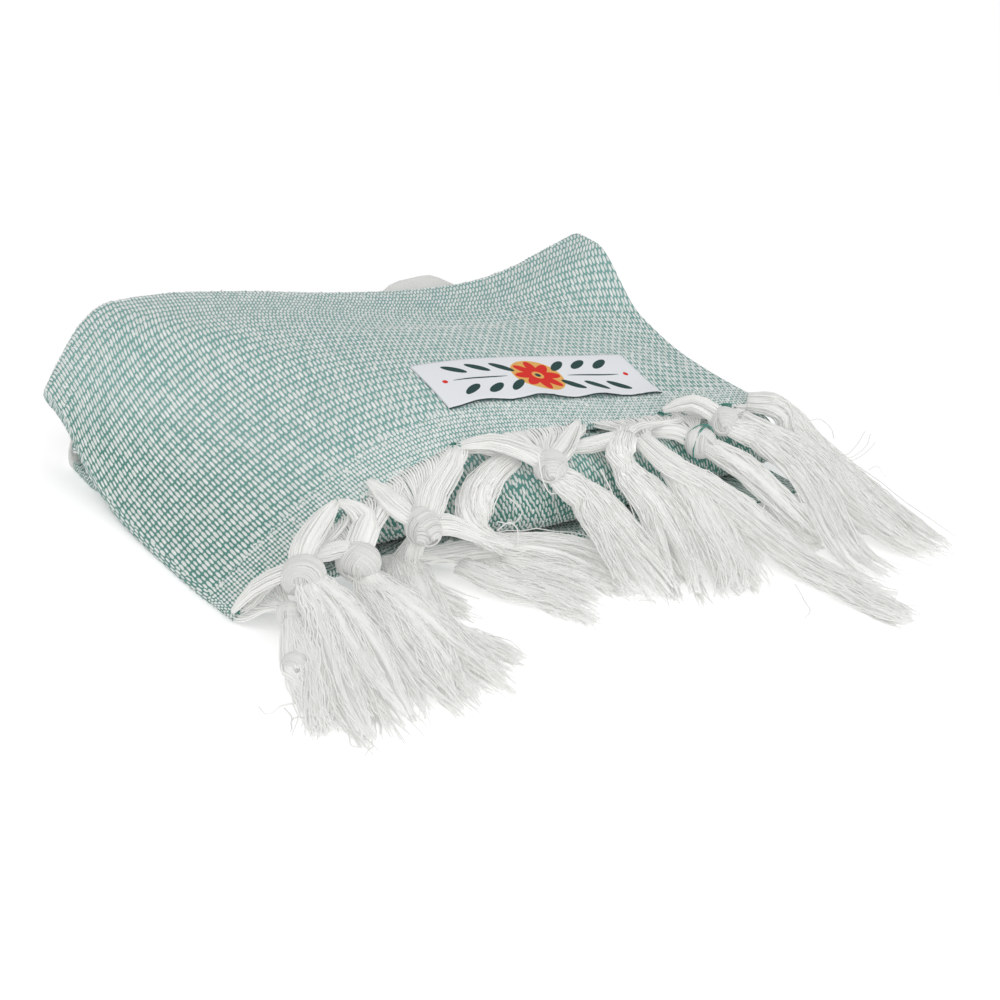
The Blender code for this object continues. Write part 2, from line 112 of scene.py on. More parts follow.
def add(tree, kind, inputs=None, **settings):
    """The outputs of a new shader node. An input is a value or another node's output."""
    made = tree.nodes.new("ShaderNode" + kind)
    for name, value in settings.items():
        setattr(made, name, value)
    for name, value in (inputs or {}).items():
        if isinstance(value, bpy.types.NodeSocket):
            tree.links.new(value, made.inputs[name])
        else:
            made.inputs[name].default_value = value
    return made.outputs


def new_material(name, **constants):
    """A material, its nodes and its shader, with the values that don't vary over it."""
    made = bpy.data.materials.new(name)
    made.use_nodes = True
    shader = made.node_tree.nodes["Principled BSDF"]
    for key, value in constants.items():
        shader.inputs[key.replace("_", " ")].default_value = value
    return made, made.node_tree, shader


def mesh_piece(name, points, faces, finish):
    """An object with these points, in the pack's millimetres, shaded smooth."""
    mesh = bpy.data.meshes.new(name)
    mesh.from_pydata(in_metres(points).tolist(), [], faces)
    mesh.shade_smooth()
    mesh.materials.append(finish)
    return new_object(name, mesh)


def point_field(piece, name, values):
    """Gives each point of a piece a value for its material."""
    piece.data.attributes.new(name, "FLOAT", "POINT").data.foreach_set("value", values)


def paint(tree, shader, base, layers):
    """Gives a shader its colour: a base, with others over it where their shares say."""
    colour = linear(base)
    for share, over in layers:
        laid = {0: share, 6: colour, 7: linear(over)}
        colour = add(tree, "Mix", laid, data_type="RGBA")[2]
    tree.links.new(colour, shader.inputs["Base Color"])


def mix(start, end, share):
    """What lies at this share of the way from start to end."""
    return start + (end - start) * share


def ease(share):
    """0 to 1 with level ends, for shares that may lie outside 0 to 1."""
    share = np.clip(share, 0.0, 1.0)
    return share * share * (3.0 - 2.0 * share)


def unit(vectors):
    """Vectors of the same direction and of length 1."""
    return vectors / np.linalg.norm(vectors, axis=-1, keepdims=True)


def quads_of(grid):
    """The four point indices of each face of a grid of points."""
    corners = (grid[:-1, :-1], grid[:-1, 1:], grid[1:, 1:], grid[1:, :-1])
    return np.stack(corners, axis=-1).reshape(-1, 4)


def ring_grid(rows, around):
    """The point indices of rings, each with its first point again at its end."""
    grid = np.arange(rows * around).reshape(rows, around)
    return np.concatenate([grid, grid[:, :1]], axis=1)


board = new_material(
    "white laminate",
    Base_Color=linear(FLOOR_WHITE),
    Emission_Color=linear("#FFFFFF"),
    Emission_Strength=FLOOR_GLOW,
    Roughness=0.7,
)[0]
reach = 500.0 * FLOOR_WIDTH
corners = [(-reach, -reach, 0.0), (reach, -reach, 0.0), (reach, reach, 0.0), (-reach, reach, 0.0)]
floor = mesh_piece("floor", corners, [(0, 1, 2, 3)], board)

room = bpy.data.worlds.new("white room")
room.use_nodes = True
room.node_tree.nodes["Background"].inputs["Color"].default_value = linear("#FFFFFF")
room.node_tree.nodes["Background"].inputs["Strength"].default_value = ROOM_LIGHT
bpy.context.scene.world = room
for name, place, width, power in LAMPS:
    lamp = new_object(name, bpy.data.lights.new(name, "AREA"))
    lamp.data.size = width
    lamp.data.energy = power
    lamp.location = place
    lamp.rotation_euler = (-Vector(place)).to_track_quat("-Z", "Y").to_euler()

# The cloth: one length of cotton, woven with a white warp that floats over a sea green
# weft. It is folded to a quarter of its width and laid back and forth in eight layers, so
# each layer holds four plies. Its shape is the construction's, on a finer net of points.
LAYERS = 8
LAYER_THICKNESS = 4.0
FULLEST = 0.70
EDGE_GAP = 0.6
STACK_X = 60.0
NOMINAL_WIDTH = 250.0
SLOPE_COLUMNS = 6
FLAT_COLUMNS = 8
FLAT_COLUMN_WIDTH = 24.0
SHARED_BACKS = (28.0, 50.0, 72.0, 94.0, 116.0)
RUN_ORDER = (7, 6, 1, 2, 3, 4, 5, 0)
TOP_LAYER = 7
SECOND_LAYER = 6
LONG_LAYERS = (5, 0)
SHELTERED_LAYERS = (2, 4)
SPREAD_START = 10.0
SPREAD_LENGTH = 45.0
RIGHT_INSETS = (5.0, 2.0, 6.0, 3.0, 7.0, 2.5, 4.0, 0.0)
CREST_LEAD = 30.0
INNER_TURN_INSET = 22.0
LARGE_TURN_REACH = 12.0
LAST_ROW_MARGIN = 6.0
FRONT_DROOP = 0.10
FRONT_DROOP_LENGTH = 30.0
TONGUE_LIFT = 11.0
TONGUE_SPAN = (141.0, 187.0, 201.0, 223.0)
TONGUE_START = 1.5
TONGUE_RISE = 16.0
TONGUE_FOOT = 20.0

Section = namedtuple("Section", "back left_x left_z crest_x crest_z middle_x middle_z right_x right_z")
SECTIONS = (
    Section(0, 0, 4.0, 104, 46, 190, 35.5, 249, 28),
    Section(22, 0, 4.0, 104, 53, 195, 37.0, 250, 28),
    Section(52, 1, 4.0, 98, 58, 200, 42.0, 252, 29),
    Section(92, 3, 5.0, 80, 60, 205, 42.0, 256, 36),
    Section(130, 6, 13.0, 58, 62, 205, 41.0, 260, 58),
    Section(155, 9, 24.0, 46, 62, 203, 41.0, 263, 57),
    Section(180, 10, 31.0, 42, 61, 200, 38.0, 265, 54),
)
Turn = namedtuple("Turn", "along top_back low_back low_front lower_hem")
TURNS = (
    Turn(0, 176, 170, 12, 12),
    Turn(45, 178, 172, 9, 10),
    Turn(90, 176, 170, 3, 2),
    Turn(130, 172, 168, -17, -10),
    Turn(165, 168, 178, -18, -24),
    Turn(190, 164, 190, -17, -27),
    Turn(212, 159, 191, -16, -31),
    Turn(238, 152, 168, -15, -33),
    Turn(265, 145, 147, -12, -32),
)

# The finer net: how many rows of points stand for one of the construction's, by layer.
FINE_SLOPE = 20
FINE_FLAT = 48
FINE_ROWS = {7: 8, 6: 4, 5: 3, 0: 4}
HIDDEN_ROWS = 2
FINE_SMALL_TURN = 8
FINE_LARGE_TURN = 16
PLIES = 4
PLY_STEPS = 8
EDGE_ROUND = 1.2
PLY_SHARE = 0.3

# The weave. White ends float in pairs, and each pair starts a little later than the next one
# on its left. Close to a hem the floats are shorter and finer. On the cloth's other face,
# which shows in the front turn, they stand steeper, and only the modelled floats are white
# there. The fold at the back lies in a plain white band.
Weave = namedtuple("Weave", "pitch period pair_shift own_shift width length rise lean")
BODY = Weave(1.6, 4.8, 0.14, -0.05, 1.14, 4.2, 0.42, 0.2)
HEM = Weave(1.3, 2.5, 0.14, -0.05, 1.04, 2.25, 0.3, 0.17)
TURN = Weave(1.3, 3.4, 1.44, 0.72, 1.6, 4.1, 0.42, -0.3)
HEM_BAND = 17.0
HEM_BLUR = 5.0
HEM_WAVES = (2.3, 0.9)
WARP_SKEW = 0.07
GREEN_WEFT = "#56978B"
# Painted light: a pale sea green laid thinly over the cloth's higher parts.
PAINTED_TOP_LIGHT = "#D5F8FE"
DEEP_GREEN = "#3B766B"
WHITE_WARP = "#E6EAE8"
BAND_WHITE = "#E9E9E6"
# Painted light: the heights over which that pale tint grows, and its full share.
TOP_LIGHT_FROM = 0.02
TOP_LIGHT_TO = 0.04
TOP_LIGHT_SHARE = 0.19


def smooth(places, values):
    """A curve through the values with no hump between two of them, as a function."""
    widths = [far - near for near, far in zip(places, places[1:])]
    steps = [(b - a) / w for a, b, w in zip(values, values[1:], widths)]
    slopes = [steps[0]]
    for before, after in zip(steps, steps[1:]):
        slopes.append(2.0 * before * after / (before + after) if before * after > 0 else 0.0)
    slopes.append(steps[-1])

    def at(place):
        place = min(places[-1], max(places[0], place))
        i = max(j for j in range(len(widths)) if places[j] <= place)
        share = (place - places[i]) / widths[i]
        bend = ((1.0 - share) * slopes[i] - share * slopes[i + 1]) * widths[i]
        chord = (1.0 - 2.0 * share) * (values[i + 1] - values[i])
        return mix(values[i], values[i + 1], share) + share * (1.0 - share) * (bend - chord)

    return at


def reader(kind, rows):
    """A function that gives a table's row at any place, between its own rows."""
    columns = list(zip(*rows))
    curves = [smooth(columns[0], column) for column in columns]
    return lambda place: kind(*(curve(place) for curve in curves))


section_at = reader(Section, SECTIONS)
turn_at = reader(Turn, TURNS)


def top_height(x, row):
    """The top surface: a rounded slope from the left fold to the crest, then a long fall."""
    if x <= row.crest_x:
        share = max(0.0, (x - row.left_x) / (row.crest_x - row.left_x))
        return mix(row.left_z, row.crest_z, math.sin(0.5 * math.pi * share))
    places = (row.crest_x - CREST_LEAD, row.crest_x, row.middle_x, row.right_x)
    return smooth(places, (row.crest_z, row.crest_z, row.middle_z, row.right_z))(x)


def place_of_height(height, row):
    """Where on the left slope the top surface reaches this height."""
    share = (height - row.left_z) / (row.crest_z - row.left_z)
    turn = math.asin(min(1.0, max(0.0, share))) / (0.5 * math.pi)
    return mix(row.left_x, row.crest_x, turn)


def droop_at(back):
    """The share of its height that the pack keeps: it sinks a little before the top hem."""
    return 1.0 - FRONT_DROOP * ease(-back / FRONT_DROOP_LENGTH)


def stack_at(x, back, row):
    """(pitch, thickness) of the flat layers."""
    height = top_height(max(x, STACK_X), row) * droop_at(back)
    thickness = min(LAYER_THICKNESS, FULLEST * height / (LAYERS - 1 + FULLEST))
    return (height - thickness) / (LAYERS - 1), thickness


def left_edge(layer, back, row):
    """A layer's left edge: the top one's is the pack's, and the others stop beneath it."""
    if layer == TOP_LAYER:
        return row.left_x
    pitch, thickness = stack_at(STACK_X, back, row)
    gap = EDGE_GAP * (pitch - thickness)
    upper = layer + 1 if layer in SHELTERED_LAYERS else layer
    need = (upper + 1) * pitch + 2.0 * thickness + gap
    if layer == SECOND_LAYER:
        spread = ease((back - SPREAD_START) / SPREAD_LENGTH)
        need = mix(5.0 * pitch, pitch + thickness + gap, spread)
    return min(STACK_X - 1.0, max(row.left_x + gap, place_of_height(need, row)))


def edges_at(layer, back, row):
    """(left, right) edges of a layer."""
    return left_edge(layer, back, row), row.right_x - RIGHT_INSETS[layer]


def middle_height(layer, x, back, row):
    """(height, thickness) at the middle of a layer's thickness."""
    pitch, thickness = stack_at(x, back, row)
    if layer >= SECOND_LAYER:
        top = top_height(x, row) * droop_at(back)
        return top - (TOP_LAYER - layer) * pitch - 0.5 * thickness, thickness
    return layer * pitch + 0.5 * thickness, thickness


def tongue_lift(along, back, height, top_back):
    """How much the large back turn rises behind the top fold."""
    start, full, even, end = TONGUE_SPAN
    across = ease((along - start) / (full - start)) * (1.0 - ease((along - even) / (end - even)))
    behind = ease((back - top_back - TONGUE_START) / TONGUE_RISE)
    return TONGUE_LIFT * across * behind * ease(height / TONGUE_FOOT)


def run_ends(layer, turn):
    """(front, back) ends of a layer's flat run, where its turns begin."""
    front = {TOP_LAYER: 0.0, 0: turn.lower_hem}.get(layer, turn.low_front + LARGE_TURN_REACH)
    if layer in LONG_LAYERS:
        return front, turn.low_back - LARGE_TURN_REACH
    return front, turn.top_back - (LAYER_THICKNESS if layer >= SECOND_LAYER else INNER_TURN_INSET)


def place_across(column, left, right):
    """The x of a column, which may lie between two of the construction's columns."""
    last = SLOPE_COLUMNS + FLAT_COLUMNS - 1
    if column <= SLOPE_COLUMNS:
        return mix(left, STACK_X, column / SLOPE_COLUMNS)
    if column >= last:
        return mix(STACK_X + FLAT_COLUMN_WIDTH * (FLAT_COLUMNS - 1), right, column - last)
    return STACK_X + FLAT_COLUMN_WIDTH * (column - SLOPE_COLUMNS)


def run_back(layer, turn, step):
    """How far back a point of a flat run lies, at a step between its rows."""
    front, rear = run_ends(layer, turn)
    late = mix(SHARED_BACKS[-1], rear, 0.5)
    if layer in LONG_LAYERS:
        late = min(turn.top_back + TONGUE_START, rear - LAST_ROW_MARGIN)
    backs = (front, mix(front, SHARED_BACKS[0], 0.5), *SHARED_BACKS, late, rear)
    whole = min(int(step), len(backs) - 2)
    return mix(backs[whole], backs[whole + 1], step - whole)


def run_pair(layer, step, column, forward):
    """Points on both faces of a flat run, the face that ends on top of the pack first."""
    along = place_across(column, 0.0, NOMINAL_WIDTH)
    turn = turn_at(along)
    back = run_back(layer, turn, step)
    row = section_at(back)
    x = place_across(column, *edges_at(layer, back, row))
    height, thickness = middle_height(layer, x, back, row)
    if layer == LONG_LAYERS[0]:
        height += tongue_lift(along, back, height, turn.top_back)
    side = 0.5 * thickness if forward else -0.5 * thickness
    return (x, back, height + side), (x, back, height - side)


def turn_pair(start, end, share, column, at_back):
    """Points on both faces of the half round that joins two layers."""
    along = place_across(column, 0.0, NOMINAL_WIDTH)
    turn = turn_at(along)
    middle = run_ends(start, turn)[at_back]
    row = section_at(middle)
    blend = 0.5 - 0.5 * math.cos(math.pi * share)
    edges = zip(*(edges_at(layer, middle, row) for layer in (start, end)))
    x = place_across(column, *(mix(near, far, blend) for near, far in edges))
    ends = [middle_height(layer, x, middle, row) for layer in (start, end)]
    thickness = ends[0][1]
    rise = 0.5 * (ends[0][0] - ends[1][0])
    reach = LARGE_TURN_REACH - 0.5 * thickness if abs(start - end) > 1 else abs(rise)
    outward = 0.5 * thickness if (start > end) == at_back else -0.5 * thickness
    points = []
    for offset in (outward, -outward):
        swing = (reach + offset) * math.sin(math.pi * share)
        back = middle + swing if at_back else middle - swing
        lean = math.copysign(abs(rise) + offset, rise) * math.cos(math.pi * share)
        height = 0.5 * (ends[0][0] + ends[1][0]) + lean
        if (start, end) == LONG_LAYERS:
            height += tongue_lift(along, back, height, turn.top_back)
        points.append((x, back, height))
    return points


def cloth_net():
    """Rows of point pairs from the top hem to the lower hem, and where each part starts."""
    columns = [SLOPE_COLUMNS * i / FINE_SLOPE for i in range(FINE_SLOPE + 1)]
    columns += [SLOPE_COLUMNS + FLAT_COLUMNS * (i + 1) / FINE_FLAT for i in range(FINE_FLAT)]
    steps = len(SHARED_BACKS) + 3
    rows, starts = [], {}
    for place, layer in enumerate(RUN_ORDER):
        forward = place % 2 == 0
        fine = FINE_ROWS.get(layer, HIDDEN_ROWS)
        spots = [i / fine for i in range(steps * fine + 1)]
        starts[layer] = len(rows)
        for step in spots if forward else spots[::-1]:
            rows.append([run_pair(layer, step, column, forward) for column in columns])
        if place + 1 == LAYERS:
            break
        following = RUN_ORDER[place + 1]
        turns = FINE_SMALL_TURN if abs(layer - following) == 1 else FINE_LARGE_TURN
        starts[layer, following] = len(rows)
        for i in range(1, turns):
            rows.append([turn_pair(layer, following, i / turns, c, forward) for c in columns])
    return np.array(rows), starts


cloth_rows, cloth_starts = cloth_net()
top_face, low_face = cloth_rows[:, :, 0].copy(), cloth_rows[:, :, 1].copy()
across_count = top_face.shape[1]


def round_off(edge, inner):
    """Rounds an edge of both faces and returns the points of the plies' folds between them."""
    top, low = top_face[edge].copy(), low_face[edge].copy()
    outward = top - top_face[inner]
    reach = np.minimum(EDGE_ROUND, 0.4 * np.linalg.norm(outward, axis=-1, keepdims=True))
    outward = unit(outward)
    folds = []
    for i in range(1, PLY_STEPS):
        share = i / PLY_STEPS
        round_share = math.sqrt(1.0 - (2.0 * share - 1.0) ** 2)
        ply_share = abs(math.sin(PLIES * math.pi * share))
        bulge = reach * mix(round_share, ply_share, PLY_SHARE)
        folds.append(mix(top, low, share) - outward * (reach - bulge))
    top_face[edge], low_face[edge] = top - outward * reach, low - outward * reach
    return folds


right_folds = round_off(np.s_[:, -1], np.s_[:, -2])
left_folds = round_off(np.s_[:, 0], np.s_[:, 1])
first_folds = round_off(0, 1)
last_folds = round_off(-1, -2)

# Each row is one ring: over the upper face, round the right edge, back and round the left.
right_side, left_side = np.stack(right_folds, axis=1), np.stack(left_folds[::-1], axis=1)
rings = np.concatenate([top_face, right_side, low_face[:, ::-1], left_side], axis=1)
rings[..., 2] = np.maximum(rings[..., 2], 0.0)
row_count, ring_count = rings.shape[:2]
closed_rings = np.concatenate([rings, rings[:, :1]], axis=1)
steps_round = np.linalg.norm(np.diff(closed_rings, axis=1), axis=-1)
steps_along = np.linalg.norm(np.diff(closed_rings, axis=0), axis=-1)
cloth_u = np.concatenate([np.zeros((row_count, 1)), np.cumsum(steps_round, axis=1)], axis=1)
cloth_v = np.concatenate([np.zeros((1, ring_count + 1)), np.cumsum(steps_along, axis=0)], axis=0)
hem_distance = np.minimum(cloth_v, cloth_v[-1] - cloth_v)
cloth_u -= WARP_SKEW * cloth_v
band_from = cloth_starts[LONG_LAYERS] - 3
band_to = cloth_starts[0] + 2
TURN_ROWS = cloth_starts[6, 1] - 3, cloth_starts[1] + 3


def hem_cap(row, folds, first_index):
    """The points and faces that close the cloth at a hem, over its plies' folded edges."""
    ring = row * ring_count + np.arange(ring_count)
    low = across_count + PLY_STEPS - 1
    grid = np.empty((PLY_STEPS + 1, across_count), int)
    grid[0] = ring[:across_count]
    grid[-1] = ring[low : low + across_count][::-1]
    grid[1:-1, -1] = ring[across_count:low]
    grid[1:-1, 0] = ring[:-PLY_STEPS:-1]
    inner = np.arange((PLY_STEPS - 1) * (across_count - 2)).reshape(PLY_STEPS - 1, -1)
    grid[1:-1, 1:-1] = first_index + inner
    turned = quads_of(grid)[:, (0, 3, 2, 1) if row == 0 else (1, 2, 3, 0)]
    return [point for fold in folds for point in fold[1:-1]], turned.tolist()


cloth_points = rings.reshape(-1, 3)
cloth_faces = quads_of(ring_grid(row_count, ring_count)).tolist()
front_points, front_faces = hem_cap(0, first_folds, len(cloth_points))
cloth_points = np.concatenate([cloth_points, front_points])
end_points, end_faces = hem_cap(row_count - 1, last_folds, len(cloth_points))
cloth_points = np.concatenate([cloth_points, end_points])


def start_share(column, weave):
    """Where a column's first float starts, as a share of the period along the warp."""
    return math.floor(column / 2) * (weave.pair_shift - 2 * weave.own_shift) + column * weave.own_shift


# Drawn floats lean more towards the right, vary in size and have a soft rim.
DRAWN_LEAN = -0.2
DRAWN_LEAN_SPAN = (45.0, 105.0)
DRAWN_SIZES = (0.85, 1.2)
DRAWN_RIM = (1.15, 0.8)


def lattice(tree, place, weave):
    """1 on the white floats of the weave and 0 on the weft between them."""
    scale = (1.0 / weave.pitch, 1.0 / weave.period, 0.0)
    cells = add(tree, "VectorMath", {0: place, 1: scale}, operation="MULTIPLY")[0]
    column, row = add(tree, "SeparateXYZ", {0: cells})[:2]
    whole = add(tree, "Math", {0: column}, operation="FLOOR")[0]
    halved = add(tree, "Math", {0: whole, 1: 0.5}, operation="MULTIPLY")[0]
    pair = add(tree, "Math", {0: halved}, operation="FLOOR")[0]
    pair_drop = weave.pair_shift - 2.0 * weave.own_shift
    for steps, drop in ((whole, weave.own_shift), (pair, pair_drop)):
        row = add(tree, "Math", {0: steps, 1: drop, 2: row}, operation="MULTIPLY_ADD")[0]
    moved = add(tree, "CombineXYZ", {0: column, 1: row})[0]
    inside = add(tree, "VectorMath", {0: moved}, operation="FRACTION")[0]
    own = add(tree, "VectorMath", {0: moved}, operation="FLOOR")[0]
    centred = {0: inside, 1: (0.5, 0.5, 0.0)}
    middle = add(tree, "VectorMath", centred, operation="SUBTRACT")[0]
    aside, ahead = add(tree, "SeparateXYZ", {0: middle})[:2]
    lean = {"Value": add(tree, "SeparateXYZ", {0: place})[0]}
    lean["From Min"], lean["From Max"] = DRAWN_LEAN_SPAN
    lean["To Max"] = DRAWN_LEAN * weave.period / weave.pitch
    slant = add(tree, "MapRange", lean)[0]
    straight = add(tree, "Math", {0: ahead, 1: slant, 2: aside}, operation="MULTIPLY_ADD")[0]
    upright = add(tree, "CombineXYZ", {0: straight, 1: ahead})[0]
    spread = (2.0 * weave.pitch / weave.width, 2.0 * weave.period / weave.length, 0.0)
    spot = add(tree, "VectorMath", {0: upright, 1: spread}, operation="MULTIPLY")[0]
    far = add(tree, "VectorMath", {0: spot}, operation="LENGTH")["Value"]
    uneven = {"Value": add(tree, "TexWhiteNoise", {"Vector": own}, noise_dimensions="2D")[0]}
    uneven["To Min"], uneven["To Max"] = DRAWN_SIZES
    share = add(tree, "MapRange", uneven)[0]
    soft = {"Value": add(tree, "Math", {0: far, 1: share}, operation="DIVIDE")[0]}
    soft["From Min"], soft["From Max"] = DRAWN_RIM
    return add(tree, "MapRange", soft, interpolation_type="SMOOTHSTEP")[0]


# Soft matt cotton: hardly any shine, a low bloom of loose fibre at grazing angles. The higher
# the cloth lies on the pack, the lighter it is painted: painted light on the pack's top.
two_tone, tree, shader = new_material(
    "two-tone cotton weave", Roughness=0.92, Sheen_Weight=0.15, Sheen_Roughness=0.6
)
weave_place = add(tree, "UVMap", uv_map="weave")[0]
from_hem, bare, in_band = (
    add(tree, "Attribute", attribute_name=name)["Fac"]
    for name in ("hem_distance", "bare_turn", "white_band")
)
hem_share = {"Value": from_hem, "From Min": HEM_BAND + 0.5, "From Max": HEM_BAND - 0.5}
near_hem = add(tree, "MapRange", hem_share)[0]
drawn = {0: near_hem, 2: lattice(tree, weave_place, BODY), 3: lattice(tree, weave_place, HEM)}
white_share = add(tree, "Mix", {0: bare, 2: add(tree, "Mix", drawn)[0], 3: 0.0})[0]
fleck = add(tree, "TexNoise", {"Vector": weave_place, "Scale": 0.6, "Detail": 3.0})["Fac"]
height = add(tree, "SeparateXYZ", {0: add(tree, "TexCoord")["Object"]})[2]
# Painted light: the pale tint grows with height over the pack.
high = {"Value": height, "From Min": TOP_LIGHT_FROM, "From Max": TOP_LIGHT_TO, "To Max": TOP_LIGHT_SHARE}
painted_top_light = add(tree, "MapRange", high)[0]
layers = (fleck, DEEP_GREEN), (painted_top_light, PAINTED_TOP_LIGHT), (white_share, WHITE_WARP), (in_band, BAND_WHITE)
paint(tree, shader, GREEN_WEFT, layers)
relief = add(tree, "Bump", {"Height": white_share, "Strength": 0.6, "Distance": 0.0004})[0]
tree.links.new(relief, shader.inputs["Normal"])

cloth = mesh_piece("cloth", cloth_points, cloth_faces + front_faces + end_faces, two_tone)
weave_map = cloth.data.uv_layers.new(name="weave")
corners = quads_of(np.arange(cloth_u.size).reshape(cloth_u.shape)).ravel()
weave_places = np.stack([cloth_u.ravel()[corners], cloth_v.ravel()[corners]], axis=1)
cap_points = cloth_points[np.ravel(front_faces + end_faces)]
weave_places = np.concatenate([weave_places, cap_points[:, (0, 2)] * (1.0, -1.0)])
weave_map.uv.foreach_set("vector", weave_places.ravel())
white_band, bare_turn = np.zeros_like(hem_distance), np.zeros_like(hem_distance)
white_band[band_from:band_to] = 1.0
bare_turn[slice(*TURN_ROWS), across_count:] = 1.0
fields = {"hem_distance": hem_distance, "white_band": white_band, "bare_turn": bare_turn}
for name, values in fields.items():
    every = np.zeros(len(cloth_points))
    every[: row_count * ring_count] = values[:, :-1].ravel()
    point_field(cloth, name, every)
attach(cloth, "root")
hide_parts("towel")

# The warp floats: the short lengths of white warp that stand on the cloth's face between
# two crossings with the weft. They lie where the cloth shows, each in its weave's place.
# They lean less at the left and behind: pairs of places, and the changes there.
FLOAT_SINK = 0.2
LESS_LEAN_LEFT = (45, 105), (-0.23, 0.0)
LESS_LEAN_BEHIND = (120, 185), (0.0, -0.45)
WIDTH_SHARES = (0.75, 1.15)
LENGTH_SHARES = (0.65, 1.15)
RISE_SHARES = (0.7, 1.2)
LEAN_SPREAD = 0.1
SIDE_SPREAD = 0.09
END_SPREAD = 0.35
LABEL_CORNER = (106.0, 18.0)
LABEL_SIZE = (103.0, 32.0)
LABEL_SKEW = 3.0
UNDER_LABEL = 1.2

# A float's outline on the cloth, then the two ends of its ridge, as shares of its size.
FLOAT_FORM = np.array(
    [
        (-0.14, -0.5, 0.0), (0.4, -0.3, 0.0), (0.5, 0.2, 0.0), (0.14, 0.5, 0.0),
        (-0.4, 0.3, 0.0), (-0.5, -0.2, 0.0), (-0.04, -0.22, 1.0), (0.04, 0.22, 1.0),
    ]
)
FLOAT_FACES = np.array(
    [
        (0, 1, 6), (1, 2, 7), (1, 7, 6), (2, 3, 7), (3, 4, 7), (4, 5, 6),
        (4, 6, 7), (5, 0, 6), (0, 5, 1), (1, 5, 4), (1, 4, 2), (2, 4, 3),
    ]
)


def covered(x, y):
    """Whether the label lies over this place."""
    depth = (y - LABEL_CORNER[1]) / LABEL_SIZE[1]
    left = LABEL_CORNER[0] + LABEL_SKEW * depth + UNDER_LABEL
    inside = left < x < left + LABEL_SIZE[0] - 2.0 * UNDER_LABEL
    return inside and UNDER_LABEL < y - LABEL_CORNER[1] < LABEL_SIZE[1] - UNDER_LABEL


def float_seats(rows, places, weaves):
    """(point, along the weft, along the warp, weave) for every float here."""
    here = np.s_[rows[0] : rows[1] + 1, places[0] : places[1] + 1]
    us, vs = cloth_u[here], cloth_v[here]
    flat = [Vector((*place, 0.0)) for place in zip(us.ravel(), vs.ravel())]
    solid = [Vector(point) for point in rings[here].reshape(-1, 3)]
    quads = quads_of(np.arange(us.size).reshape(us.shape)).tolist()
    faces = [face for a, b, c, d in quads for face in ((a, b, c), (a, c, d))]
    net = BVHTree.FromPolygons(flat, faces)
    hem_reach = HEM_BAND + 2.0 * HEM_BLUR
    last_hem = cloth_v[-1].min() - hem_reach
    seats = []
    for weave in weaves:
        pitch, period = weave.pitch, weave.period
        for i in range(int(us.min() / pitch) - 1, int(us.max() / pitch) + 1):
            u = (i + 0.5) * pitch
            started = start_share(i, weave)
            first = int(vs.min() / period + started) - 1
            for j in range(first, int(vs.max() / period + started) + 1):
                v = period * (j + 0.5 - started)
                if weave is HEM and hem_reach < v < last_hem:
                    continue
                spot, _, face, _ = net.ray_cast(Vector((u, v, 1.0)), Vector((0.0, 0.0, -1.0)))
                if spot is None:
                    continue
                r, k = rows[0] + faces[face][0] // us.shape[1], places[0] + faces[face][0] % us.shape[1]
                beyond = min(r + 1, row_count - 1)
                span = max(1e-6, cloth_v[r + 1, k] - cloth_v[r, k]) if r + 1 < row_count else 1.0
                share = min(1.0, max(0.0, (v - cloth_v[r, k]) / span))
                own = mix(hem_distance[r, k], hem_distance[beyond, k], share)
                border = HEM_BAND + HEM_BLUR * math.sin(HEM_WAVES[0] * u) * math.sin(HEM_WAVES[1] * u + 1.0)
                other_weave = weave is not TURN and (own < border) != (weave is HEM)
                if band_from <= r < band_to or other_weave:
                    continue
                three = [flat[c] for c in faces[face]] + [solid[c] for c in faces[face]]
                seat, east, north = (
                    barycentric_transform(spot + move, *three)
                    for move in (Vector(), Vector((0.5, 0.0, 0.0)), Vector((0.0, 0.5, 0.0)))
                )
                if not covered(seat.x, seat.y) or r >= cloth_starts[6]:
                    seats.append((seat, east - seat, north - seat, weave))
    return seats


low_first = across_count + PLY_STEPS - 1
low_last = low_first + across_count - 1
LOWER_HEM_ROWS = 14
PLY_BEHIND_ROWS = (14, 24)
SHOWN_FACES = (
    ((0, cloth_starts[6]), (0, across_count - 1), (BODY, HEM)),
    (TURN_ROWS, (low_first, low_last), (TURN,)),
    ((row_count - LOWER_HEM_ROWS, row_count - 1), (low_first, low_last), (BODY, HEM)),
    (tuple(cloth_starts[5] + row for row in PLY_BEHIND_ROWS), (0, across_count - 1), (BODY, HEM)),
)
seats = [seat for shown in SHOWN_FACES for seat in float_seats(*shown)]
chance = np.random.default_rng(11)
count = len(seats)
spots, easts, norths = (np.array([seat[i] for seat in seats]) for i in range(3))
widths, lengths, rises, leans = np.array([seat[3][4:] for seat in seats]).T
easts, norths = unit(easts), unit(norths)
outs = unit(np.cross(easts, norths))
widths = widths * chance.uniform(*WIDTH_SHARES, count)
lengths = lengths * chance.uniform(*LENGTH_SHARES, count)
rises = rises * chance.uniform(*RISE_SHARES, count)
leans = leans + chance.normal(0.0, LEAN_SPREAD, count)
leans += np.interp(spots[:, 0], *LESS_LEAN_LEFT) + np.interp(spots[:, 1], *LESS_LEAN_BEHIND)
spots = spots + easts * chance.normal(0.0, SIDE_SPREAD, (count, 1))
spots = spots + norths * chance.normal(0.0, END_SPREAD, (count, 1))
norths = unit(norths + leans[:, None] * easts)
form = FLOAT_FORM[None, :, :, None]
float_points = (
    spots[:, None, :]
    + form[:, :, 0] * widths[:, None, None] * easts[:, None, :]
    + form[:, :, 1] * lengths[:, None, None] * norths[:, None, :]
    + (form[:, :, 2] * (rises[:, None, None] + FLOAT_SINK) - FLOAT_SINK) * outs[:, None, :]
)
float_faces = (FLOAT_FACES[None] + 8 * np.arange(count)[:, None, None]).reshape(-1, 3)

